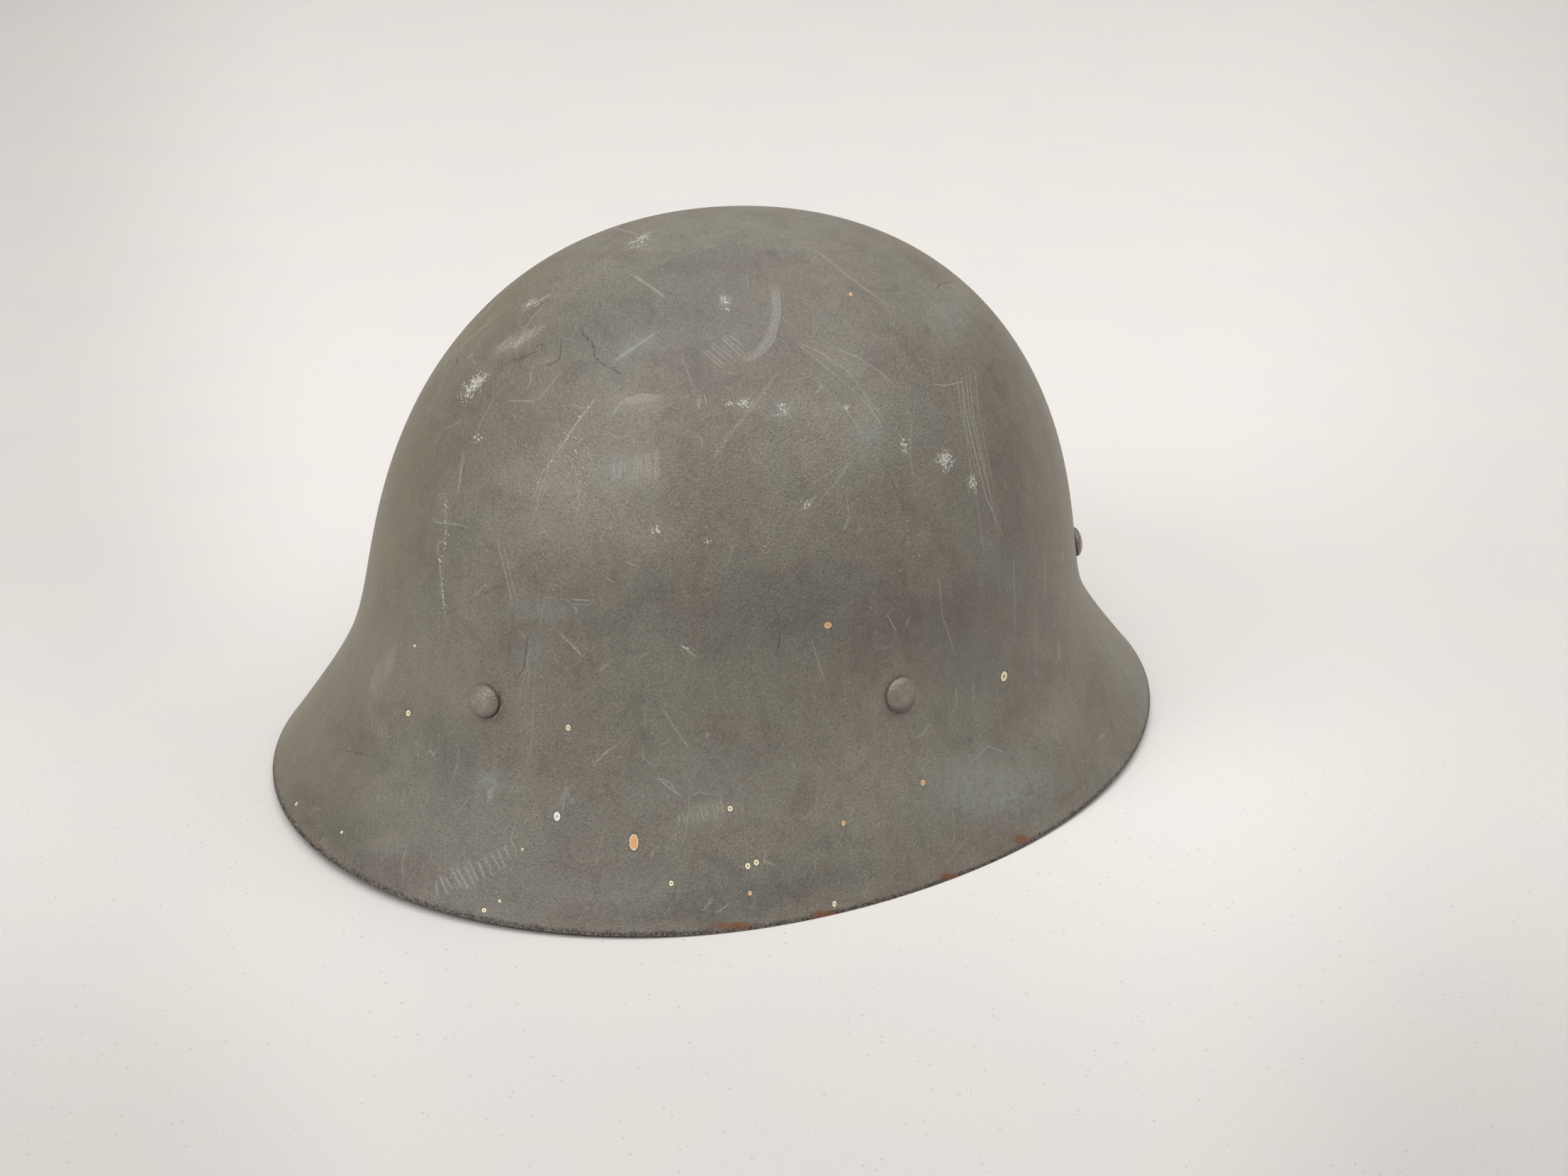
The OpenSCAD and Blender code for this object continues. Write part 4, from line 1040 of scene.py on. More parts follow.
class Marks:
    """Wear of the shell's paint, with painted light and painted shade, stored at the mesh's points for the
    material to read.
    """

    line_layers = 6

    def __init__(self, mesh: bpy.types.Mesh, points: np.ndarray) -> None:
        """Finds where the photograph sees each point.

        Args:
            mesh: the mesh that gets the marks.
            points: its points on the unrolled wall.
        """
        self.mesh = mesh
        self.points = points
        self.soft = np.zeros((len(points), 3))
        self.hard = np.zeros((len(points), 3))
        self.lines = [np.zeros((len(points), 3)) for _ in range(self.line_layers)]
        self.cracks_and_painted_shadows = np.zeros((len(points), 3))
        # Holds powdery specks and the lighter ovals, which are partly painted light.
        self.fine = np.zeros((len(points), 3))

    def draw(self, where: np.ndarray, seen: np.ndarray, patches: Iterable[Patch],
             strokes: Iterable[Stroke]) -> None:
        """Lays marks on the points that are seen.

        Args:
            where: plane coordinates of every point, in the marks' own units.
            seen: which points may take a mark.
            patches: soft ovals.
            strokes: drawn lines.
        """
        slot = {Ink.VEIL: (self.soft, 0), Ink.COOL: (self.soft, 1), Ink.WARM: (self.soft, 2),
                Ink.DARK_SPOTS_AND_PAINTED_SHADE: (self.hard, 0), Ink.BARE: (self.hard, 1), Ink.RUST: (self.hard, 2),
                Ink.SPECK: (self.fine, 0), Ink.GLOW: (self.fine, 1)}
        for mark in patches:
            store, axis = slot[mark.ink]
            turn = math.radians(mark.turn)
            rel = where - np.array([mark.x, mark.y])
            u = (rel[:, 0] * math.cos(turn) + rel[:, 1] * math.sin(turn)) / mark.half_x
            v = (-rel[:, 0] * math.sin(turn) + rel[:, 1] * math.cos(turn)) / mark.half_y
            far = np.hypot(u, v)
            # Lighter and darker ovals add up softly; they are partly wear and dark spots, partly painted
            # light and painted shade.
            if mark.ink in (Ink.GLOW, Ink.DARK_SPOTS_AND_PAINTED_SHADE):
                store[:, axis] += np.exp(-1.2 * far ** 2) * mark.strength * seen
            else:
                value = np.clip(1.35 - far, 0, 1) * mark.strength * seen
                store[:, axis] = np.maximum(store[:, axis], value)
        for mark in strokes:
            side, keep = line_field(where, mark.path, mark.half)
            keep = keep * mark.strength * seen
            on = keep > 0
            if not on.any():
                continue
            if mark.ink is Ink.SPECK:
                value = np.clip(1.4 - np.abs(side), 0, 1) * keep
                self.fine[:, 0] = np.maximum(self.fine[:, 0], value)
                continue
            layers = [self.cracks_and_painted_shadows] if mark.ink is Ink.CRACK_AND_PAINTED_SHADOW else self.lines
            layer = min(layers, key=lambda one: one[on, 1].max())
            better = on & (keep > layer[:, 1])
            layer[better, 0] = side[better]
            layer[better, 1] = keep[better]
            layer[better, 2] = mark.half

    def store(self) -> None:
        """Writes the marks to the mesh."""
        write_attribute(self.mesh, "soft_marks", self.soft)
        write_attribute(self.mesh, "hard_marks", self.hard)
        write_attribute(self.mesh, "cracks_and_painted_shadows", self.cracks_and_painted_shadows)
        write_attribute(self.mesh, "specks_and_painted_light", self.fine)
        for i, layer in enumerate(self.lines):
            write_attribute(self.mesh, f"lines_{i}", layer)


@dataclass(frozen=True)
class PaintFinish:
    """Worn matt field paint: tones, clouds, grain, flecks, scratches, chips, a raw rim, and painted light
    and shade.
    """

    brown: str = "72695f"
    green: str = "777368"
    pale: str = "918b80"
    cool: str = "838a81"
    warm: str = "847a5e"
    dark: str = "4a4540"
    fleck: str = "b2b0a6"
    raw: str = "2c2722"
    rust: str = "8a5432"
    roughness: float = 0.5
    gloss: float = 0.5

    def _chip_fields(self, g: Graph, at: Value, spots: dict[Fleck, list[Matrix]]) -> dict:
        """Returns, for each kind of chip, the distance to the nearest one in its own sizes."""
        fields = {}
        for kind, places in spots.items():
            near = None
            for place in places:
                turned = g.node("ShaderNodeMapping", {"vector_type": "TEXTURE"}, {
                    "Vector": at, "Location": place.to_translation(),
                    "Rotation": place.to_euler(), "Scale": place.to_scale()})
                far = g.node("ShaderNodeVectorMath", {"operation": "LENGTH"}, {0: turned}, out="Value")
                near = far if near is None else near.least(far)
            fields[kind] = near
        return fields

    def material(self, name: str, spots: dict[Fleck, list[Matrix]] | None = None,
                 marked: bool = True) -> bpy.types.Material:
        """Builds the paint.

        Args:
            name: the material's name.
            spots: places, turns and half sizes in millimetres of the sharp chips.
            marked: whether the mesh carries stored marks.

        Returns:
            The material.
        """
        g = Graph(name)
        at = g.place()
        clouds = g.noise(at, 52, 4, 0.6, 0.4)
        puffs = g.noise(at, 13, 3, 0.62, 0.8)
        grain = g.noise(at, 0.85, 2, 0.6)
        fine = g.noise(at, 0.42, 2, 0.6)
        smear = g.noise(g.stretch(at, (1, 1, 0.22), (0, 12, 20)), 5, 3, 0.65, 0.6)
        wisps = g.noise(at, 2.6, 4, 0.72, 0.5)
        tone = g.blend(clouds.step(0.36, 0.64), self.brown, self.green)
        tone = g.blend((puffs - 0.5) * 0.6 + (smear - 0.5) * 0.5 + 0.1, tone, self.pale)
        tone = g.blend((0.47 - puffs).most(0.0), tone, self.dark)
        tone = g.scaled(tone, 1 + (wisps - 0.5) * 0.18 + (grain - 0.5) * 0.8 + (fine - 0.5) * 0.95)
        tone = g.blend(grain.step(0.36, 0.24) * 0.35, tone, self.dark)
        loose = g.dots(at, 1.4, 0.11) * puffs.step(0.36, 0.56)
        tone = g.blend(g.dots(at, 1.9, 0.1) * 0.35, tone, self.dark)
        hair = g.hairs(at, 12, (8, 6, 0), 0.007).most(g.hairs(at, 15, (62, 20, 40), 0.006))
        height = grain * 0.75 + fine * 0.25
        rough = self.roughness + (puffs - 0.5) * 0.16
        if marked:
            soft, hard, edge = g.read("soft_marks"), g.read("hard_marks"), g.read("edge")
            small = g.read("specks_and_painted_light")
            veil, cool, warm = soft.part(0), soft.part(1), soft.part(2)
            # The lighter and darker ovals brighten and darken the tone: partly wear and dark spots, partly
            # painted light and painted shade.
            tone = g.scaled(tone, 1 + small.part(1) - hard.part(0))
            tone = g.blend(veil * wisps.step(0.25, 0.6) * 0.6, tone, self.pale)
            tone = g.blend(cool * wisps.step(0.3, 0.65) * 0.8, tone, self.cool)
            tone = g.blend(warm * 0.5, tone, self.warm)
            scratch = None
            for i in range(Marks.line_layers):
                layer = g.read(f"lines_{i}")
                away = abs(layer.part(0)) + (grain - 0.5) * 1.5
                body = away.step(1.15, 0.4) * layer.part(1)
                scratch = body if scratch is None else scratch.most(body)
            scratch = scratch * (fine.step(0.3, 0.62) * 0.75 + 0.25)
            # Dark scratches, with the painted shadows under the rivet heads drawn the same way.
            crack_and_painted_shadow = g.read("cracks_and_painted_shadows")
            crack_and_painted_shadow = ((abs(crack_and_painted_shadow.part(0)) + (grain - 0.5) * 2.2).step(1.2, 0.3) * crack_and_painted_shadow.part(1)
                     * wisps.step(0.36, 0.5))
            rubbed = (hard.part(1) + (fine - 0.5) * 1.2 + (grain - 0.5) * 1.4).step(0.3, 0.85)
            cluster = small.part(0).most(hard.part(1)).most(veil * 0.3).most(cool * 0.3)
            crumbs = g.dots(at, 1.1, cluster * 0.52 - 0.06)
            tone = g.blend(loose.most(hair * 0.6) * 0.5, tone, self.fleck)
            tone = g.blend(scratch * 0.85, tone, self.fleck)
            tone = g.blend(crumbs * 0.85, tone, "cfcdc3")
            tone = g.blend(rubbed * 0.9, tone, "c6c6bd")
            tone = g.blend(crack_and_painted_shadow * 0.7, tone, "2f2a25")
            rusted = (hard.part(2) + (grain - 0.5) * 1.5 + (fine - 0.5) * 0.5).step(0.35, 0.8)
            worn = (edge.part(0) + (wisps - 0.5) * 2.4).step(1.7, 0.5)
            tone = g.blend(worn, tone, g.blend(grain.step(0.4, 0.62), self.raw, "6b6258"))
            tone = g.blend(rusted * 0.9, tone, g.blend(fine.step(0.35, 0.7), self.rust, "5a3a28"))
            height = height - crack_and_painted_shadow * 0.6 - worn * 0.4 + crumbs * 0.15
            rough = rough + rusted * 0.2 - worn * 0.06
        else:
            edge = g.read("edge")
            tone = g.blend(loose * 0.5, tone, self.fleck)
            # On the rivets the top turns paler, partly rubbed paint and partly a painted highlight, and the
            # foot darker, partly grime and partly painted shade where the head meets the shell.
            rubbed = (edge.part(0) + (wisps - 0.5) * 1.2).step(0.75, 1.1)
            painted_shade_and_grime = (edge.part(0) + (wisps - 0.5) * 0.8).step(0.3, 0.0)
            tone = g.blend(rubbed * 0.7, tone, self.pale)
            tone = g.blend(painted_shade_and_grime * 0.75, tone, "2c2823")
        if spots:
            fields = self._chip_fields(g, at, spots)
            ragged = (fine - 0.5) * 0.4
            for kind, (outer, inner) in {
                    Fleck.CREAM: ("eee6c4", "8a7450"), Fleck.PALE: ("e6e8e4", "a3b0b5"),
                    Fleck.ORANGE: ("ecd9b4", "dba674")}.items():
                if kind not in fields:
                    continue
                near = fields[kind] + ragged
                # A dark ring round each chip is a painted shadow of the chip's edge.
                lip = near.step(1.45, 1.05) * near.step(0.8, 1.05)
                tone = g.blend(lip * 0.55, tone, "4a443b")
                middle = near.step(*((0.88, 0.66) if kind is Fleck.ORANGE else (0.4, 0.2)))
                fill = g.blend(middle, outer, inner)
                inside = near.step(1.06, 0.92)
                tone = g.blend(inside, tone, fill)
                height = height - inside * 1.4
        normal = g.bump(height, 0.45, 1.0)
        return g.finish(Base_Color=tone, Roughness=rough, Normal=normal,
                        Specular_IOR_Level=self.gloss, Sheen_Weight=0.2, Sheen_Roughness=0.35,
                        Sheen_Tint=linear("d8d0b4"))


class Shell:
    """The pressed steel shell: one closed sheet with a rolled-over edge of paint at the rim."""

    def __init__(self, form: ShellForm, camera: PhotoCamera) -> None:
        """Keeps the form and the camera.

        Args:
            form: the shell's sizes.
            camera: the photograph's camera.
        """
        self.form = form
        self.camera = camera

    def _angles(self) -> np.ndarray:
        """Returns the angles of the columns, closer together where the photograph sees them."""
        near = np.arange(-42.0, 160.0, 0.64)
        far = np.arange(160.0, 318.0, 1.9)
        return np.radians(np.concatenate([near, far]))

    def _heights(self, step: float, angle: float = 0.8) -> np.ndarray:
        """Returns heights from the crown to the dome's foot, evenly spaced along the wall.

        Args:
            step: distance between heights.
            angle: angle at which it is measured.

        Returns:
            The heights.
        """
        f = self.form
        turn = np.linspace(0, math.pi / 2, 1500)
        z = f.foot_z + (f.shell_h - f.foot_z) * np.cos(turn) ** (2 / f.fullness)
        r = f.radius(angle, z)
        run = np.concatenate([[0], np.cumsum(np.hypot(np.diff(r), np.diff(z)))])
        return np.interp(np.arange(1, int(run[-1] / step) + 1) * run[-1] / int(run[-1] / step), run, z)

    def _sheet(self, angles: np.ndarray, step: float) -> np.ndarray:
        """Returns rings of points of the outside, from next to the crown down to the rim.

        Args:
            angles: angles of the columns.
            step: distance between rings.

        Returns:
            The points.
        """
        f = self.form
        upper = self._heights(step)
        count = int(f.foot_z * 1.15 / step)
        lower = np.concatenate([np.linspace(0, 1, count + 1)[1:-1] * 0.985, [0.99, 0.995]])
        rim = f.rim_z(angles)
        z = np.concatenate([np.repeat(upper[:, None], len(angles), 1),
                            mix(f.foot_z, rim[None, :], lower[:, None])])
        return f.point(angles[None, :], z)

    def _dents(self, points: np.ndarray, normals: np.ndarray) -> np.ndarray:
        """Returns the points pressed in a little, as a used sheet is.

        Args:
            points: points of the outside.
            normals: their normals.

        Returns:
            The moved points.
        """
        x, y, z = points[..., 0], points[..., 1], points[..., 2]
        wave = (np.sin(x / 17 + 1.3 * np.sin(y / 29)) * np.sin(y / 19 + 0.8 * np.sin(z / 23))
                * np.cos(z / 21 + x / 41))
        fade = np.clip((z - 4) / 20, 0, 1) * np.clip((178 - z) / 30, 0, 1)
        return points - normals * (0.09 * (1 + wave) * fade)[..., None]

    def make(self) -> bpy.types.Object:
        """Creates the shell and returns it."""
        f = self.form
        angles = self._angles()
        cols = len(angles)
        outer = self._sheet(angles, 1.3)
        normals = -grid_normals(outer, closed=True)
        outer = self._dents(outer, normals)
        backed = self._sheet(angles, 6.0)
        inner = (backed + f.wall * grid_normals(backed, closed=True))[::-1]
        rim_z = f.rim_z(angles)
        edge = f.point(angles, rim_z)
        level = np.stack([np.sin(angles), -np.cos(angles), 0 * angles], -1)
        up = np.array([0, 0, 1.0])
        rim = np.stack([edge - 0.03 * level + 0.16 * up, edge - 0.2 * level + 0.02 * up,
                        edge - 0.62 * level, edge - 1.1 * level + 0.02 * up,
                        edge - 1.3 * level + 0.18 * up])
        rings = np.concatenate([outer, rim, inner[2:]])
        top = np.array([[0, f.crown_y, f.shell_h - 0.05]])
        under = np.array([[0, f.crown_y, f.shell_h - f.wall]])
        points = np.concatenate([top, rings.reshape(-1, 3), under])
        faces = [(0, 1 + (i + 1) % cols, 1 + i) for i in range(cols)]
        faces += [face[::-1] for face in quads(len(rings), cols, 1, closed=True)]
        last = len(points) - 1
        faces += [(last, last - cols + i, last - cols + (i + 1) % cols) for i in range(cols)]
        piece = turn_outwards(make_object("steel_shell", points, faces))
        self._mark(piece, points, len(outer) + 2, cols)
        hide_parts("shell")
        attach(piece, "helmet")
        log.info("steel_shell: %d faces", len(piece.data.polygons))
        return piece

    def _mark(self, piece: bpy.types.Object, points: np.ndarray, outer_rings: int, cols: int) -> None:
        """Stores the wear, painted light and painted shade at the points and gives the shell its paint.

        Args:
            piece: the shell's object.
            points: its points.
            outer_rings: rings of the outside.
            cols: points in a ring.
        """
        f = self.form
        outside = np.zeros(len(points))
        outside[: 1 + outer_rings * cols] = 1
        angle = np.arctan2(points[:, 0], -(points[:, 1] - f.crown_y))
        place = self.camera.solve()[0]
        n = np.array([v.vector for v in piece.data.vertex_normals])
        facing = np.einsum("ij,ij->i", n, unit(place - points))
        seen = outside * np.clip((facing - 0.04) / 0.1, 0, 1)
        marks = Marks(piece.data, points)
        marks.draw(self.camera.pixels(points), seen, *drawn_marks())
        away = outside * np.clip((-0.02 - facing) / 0.1, 0, 1)
        turned = np.mod(angle, 2 * math.pi)
        flat = np.stack([turned * UNROLL, (190 - points[:, 2]) * 1.25 * PX_PER_MM], -1)
        marks.draw(flat, away, *self._other_side())
        marks.store()
        edge = np.zeros((len(points), 3))
        edge[:, 0] = points[:, 2] - f.rim_z(angle)
        edge[:, 1] = outside
        edge[:, 0] = np.where(outside > 0, edge[:, 0], edge[:, 0] + 0.6)
        write_attribute(piece.data, "edge", edge)
        piece.data.materials.append(PaintFinish().material("shell_paint", self._spots(piece)))

    def _other_side(self) -> tuple[list[Patch], list[Stroke]]:
        """Returns marks for the side that the photograph doesn't see, in unrolled units."""
        rng = np.random.default_rng(5)
        low, high = math.radians(150) * UNROLL, math.radians(330) * UNROLL
        patches, strokes = [], []
        for ink, count, size, most in ((Ink.VEIL, 12, 30, 1.0), (Ink.COOL, 9, 30, 1.0),
                                       (Ink.DARK_SPOTS_AND_PAINTED_SHADE, 14, 60, 0.14), (Ink.GLOW, 14, 50, 0.18),
                                       (Ink.BARE, 9, 6, 1.0), (Ink.SPECK, 22, 16, 1.0),
                                       (Ink.WARM, 2, 20, 1.0)):
            for _ in range(count):
                patches.append(Patch(ink, rng.uniform(low, high), rng.uniform(120, 880),
                                     size * rng.uniform(0.6, 1.7), size * rng.uniform(0.4, 1.2),
                                     rng.uniform(0.5, 1.0) * most, rng.uniform(0, 180)))
        for _ in range(10):
            patches.append(Patch(Ink.RUST, rng.uniform(low, high), rng.uniform(945, 985),
                                 rng.uniform(8, 40), 9, rng.uniform(0.4, 0.9)))
        for i in range(34):
            x, y = rng.uniform(low, high), rng.uniform(120, 900)
            turn, length = rng.uniform(0, 2 * math.pi), rng.uniform(20, 110)
            bend = rng.normal(0, 0.3)
            path = [(x, y)]
            for k in range(3):
                path.append((path[-1][0] + math.cos(turn + bend * k) * length / 3,
                             path[-1][1] + math.sin(turn + bend * k) * length / 3))
            ink = Ink.CRACK_AND_PAINTED_SHADOW if i % 6 == 0 else Ink.LINE
            strokes.append(Stroke(ink, tuple(path), rng.uniform(0.9, 2.2), rng.uniform(0.4, 0.9)))
        return patches, strokes

    def _spots(self, piece: bpy.types.Object) -> dict[Fleck, list[Matrix]]:
        """Returns each chip's place on the shell, found by a ray from the camera.

        Args:
            piece: the shell's object.

        Returns:
            The places, by kind of fleck.
        """
        tree = BVHTree.FromObject(piece, bpy.context.evaluated_depsgraph_get())
        out: dict[Fleck, list[Matrix]] = {}
        for kind, x, y, half_x, half_y in [(k, *chip) for k, some in CHIPS.items() for chip in some]:
            start, way = self.camera.ray(x, y)
            hit, normal, _, far = tree.ray_cast(start, way)
            if hit is None:
                continue
            scale = far * 1000 / self.camera.focal_px
            along = way.cross(Vector((0, 0, 1))).normalized()
            side = (along - normal * along.dot(normal)).normalized()
            over = normal.cross(side)
            lean_x = max(0.35, abs(side.dot(along)))
            lean_y = max(0.35, abs(over.dot(way.cross(along).normalized())))
            turned = Matrix((side, over, normal)).transposed().to_4x4()
            sizes = (half_x * scale / lean_x, half_y * scale / lean_y, CHIP_DEPTH)
            out.setdefault(kind, []).append(
                Matrix.Translation(hit * 1000) @ turned @ Matrix.Diagonal((*sizes, 1.0)))
        return out


@dataclass(frozen=True)
class RivetForm:
    """Sizes of the six liner rivets, in millimetres."""

    z: float = 60.8
    angles: tuple[float, ...] = (-33.0, 22.0, 90.0, 159.0, 201.0, 270.0)
    head_d: float = 10.4
    head_h: float = 2.9
    shank_d: float = 4.0
    tail_d: float = 6.4
    tail_h: float = 1.5
    hoop_gap: float = 7.0
    hoop_t: float = 1.0
    washer_t: float = 0.9
    seat_gap: float = 0.4


class ShellRivets:
    """Six domed rivets: heads bedded on the wall, level shanks and hammered tails."""

    def __init__(self, shell: ShellForm, form: RivetForm) -> None:
        """Keeps the forms.

        Args:
            shell: the shell's sizes.
            form: the rivets' sizes.
        """
        self.shell = shell
        self.form = form

    def frame(self, degrees: float) -> tuple[np.ndarray, np.ndarray, np.ndarray]:
        """Returns a rivet's place on the wall, the wall's normal and the shank's way out.

        Args:
            degrees: angle from the front.

        Returns:
            The place, the normal and the way out.
        """
        a = math.radians(degrees)
        normal = self.shell.normal(a, self.form.z)
        level = unit(np.array([normal[0], normal[1], 0.0]))
        return self.shell.point(a, self.form.z), normal, level

    def _turned(self, origin: np.ndarray, axis: np.ndarray, profile: Sequence[tuple[float, float]],
                count: int, wobble: float, rng: np.random.Generator) -> tuple[np.ndarray, list]:
        """Returns points and faces of a profile of (radius, height) turned about an axis.

        Args:
            origin: the foot of the axis.
            axis: its direction.
            profile: radius and height pairs.
            count: points in a ring.
            wobble: share by which the rings leave the circle.
            rng: source of the wobble.

        Returns:
            The points and the faces.
        """
        side = unit(np.cross(axis, [0.0, 0.0, 1.0]))
        over = np.cross(axis, side)
        turns = np.linspace(0, 2 * math.pi, count, endpoint=False)
        shake = 1 + wobble * (np.sin(2 * turns + rng.uniform(0, 6))
                              + 0.6 * np.sin(3 * turns + rng.uniform(0, 6)))
        points = []
        for r, h in profile:
            ring = (np.cos(turns) * shake * r)[:, None] * side + (np.sin(turns) * shake * r)[:, None] * over
            points.append(origin + ring + axis * h)
        points = np.concatenate(points)
        faces = quads(len(profile), count, 0, closed=True)
        faces.append(tuple(range(count))[::-1])
        last = len(points) - count
        faces.append(tuple(range(last, last + count)))
        return points, faces

    def make(self) -> bpy.types.Object:
        """Creates the rivets and returns them."""
        f = self.form
        rng = np.random.default_rng(11)
        points: list[np.ndarray] = []
        faces: list[tuple[int, ...]] = []
        edge: list[np.ndarray] = []
        total = 0
        for degrees in f.angles:
            place, normal, level = self.frame(degrees)
            r0 = f.head_d / 2
            head = [(r0 * 0.88, -0.7), (r0 * 0.9, 0.0), (r0, 0.34), (r0, 0.52)]
            rise = f.head_h - 0.52
            for i in range(1, 13):
                t = math.pi / 2 * i / 12
                head.append((r0 * math.cos(t) + 0.02, 0.52 + rise * math.sin(t) ** 1.05))
            a = math.radians(degrees)
            skew = float(level @ np.array([math.sin(a), -math.cos(a), 0.0]))
            depth = (self.shell.wall + f.hoop_gap + f.hoop_t) * skew + f.seat_gap + f.washer_t
            tail = [(f.shank_d / 2, -0.6), (f.shank_d / 2, -depth), (f.tail_d / 2, -depth - 0.05)]
            for i in range(1, 8):
                t = math.pi / 2 * i / 7
                tail.append((f.tail_d / 2 * math.cos(t) + 0.02, -depth - 0.05 - f.tail_h * math.sin(t)))
            for profile, axis, wobble in ((head, normal, 0.008), (tail, level, 0.02)):
                new, some = self._turned(place, axis, profile, 56, wobble, rng)
                points.append(new)
                edge.append(((new - place) @ axis / f.head_h if axis is normal
                             else np.full(len(new), 0.5)))
                faces += [tuple(i + total for i in face) for face in some]
                total += len(new)
        joined = np.concatenate(points)
        piece = turn_outwards(make_object("liner_rivets", joined, faces))
        high = np.zeros((len(joined), 3))
        high[:, 0] = np.concatenate(edge)
        write_attribute(piece.data, "edge", high)
        piece.data.materials.append(PaintFinish(brown="7a6e63", green="756f64", roughness=0.27, gloss=0.9)
                                    .material("rivet_paint", marked=False))
        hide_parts("shell_rivets")
        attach(piece, "helmet")
        log.info("liner_rivets: %d faces", len(piece.data.polygons))
        return piece


# Sheets, tubes and stitches

Place = Callable[[np.ndarray, np.ndarray, np.ndarray], np.ndarray]


def resample(loop: np.ndarray, step: float) -> np.ndarray:
    """Returns a closed loop with its points about step apart.

    Args:
        loop: points of a closed loop.
        step: wanted distance between points.

    Returns:
        The new points.
    """
    ring = np.vstack([loop, loop[:1]])
    run = run_along(ring)
    at = np.linspace(0, run[-1], max(8, int(run[-1] / step)) + 1)[:-1]
    return np.stack([np.interp(at, run, ring[:, 0]), np.interp(at, run, ring[:, 1])], -1)


def oval(x: float, y: float, half_x: float, half_y: float, count: int = 40) -> np.ndarray:
    """Returns a hole with straight sides and round ends, the longer way along x or y."""
    turn = np.linspace(0, 2 * math.pi, count, endpoint=False)
    r = min(half_x, half_y)
    return np.stack([x + (half_x - r) * np.sign(np.round(np.cos(turn), 9)) + r * np.cos(turn),
                     y + (half_y - r) * np.sign(np.round(np.sin(turn), 9)) + r * np.sin(turn)], -1)


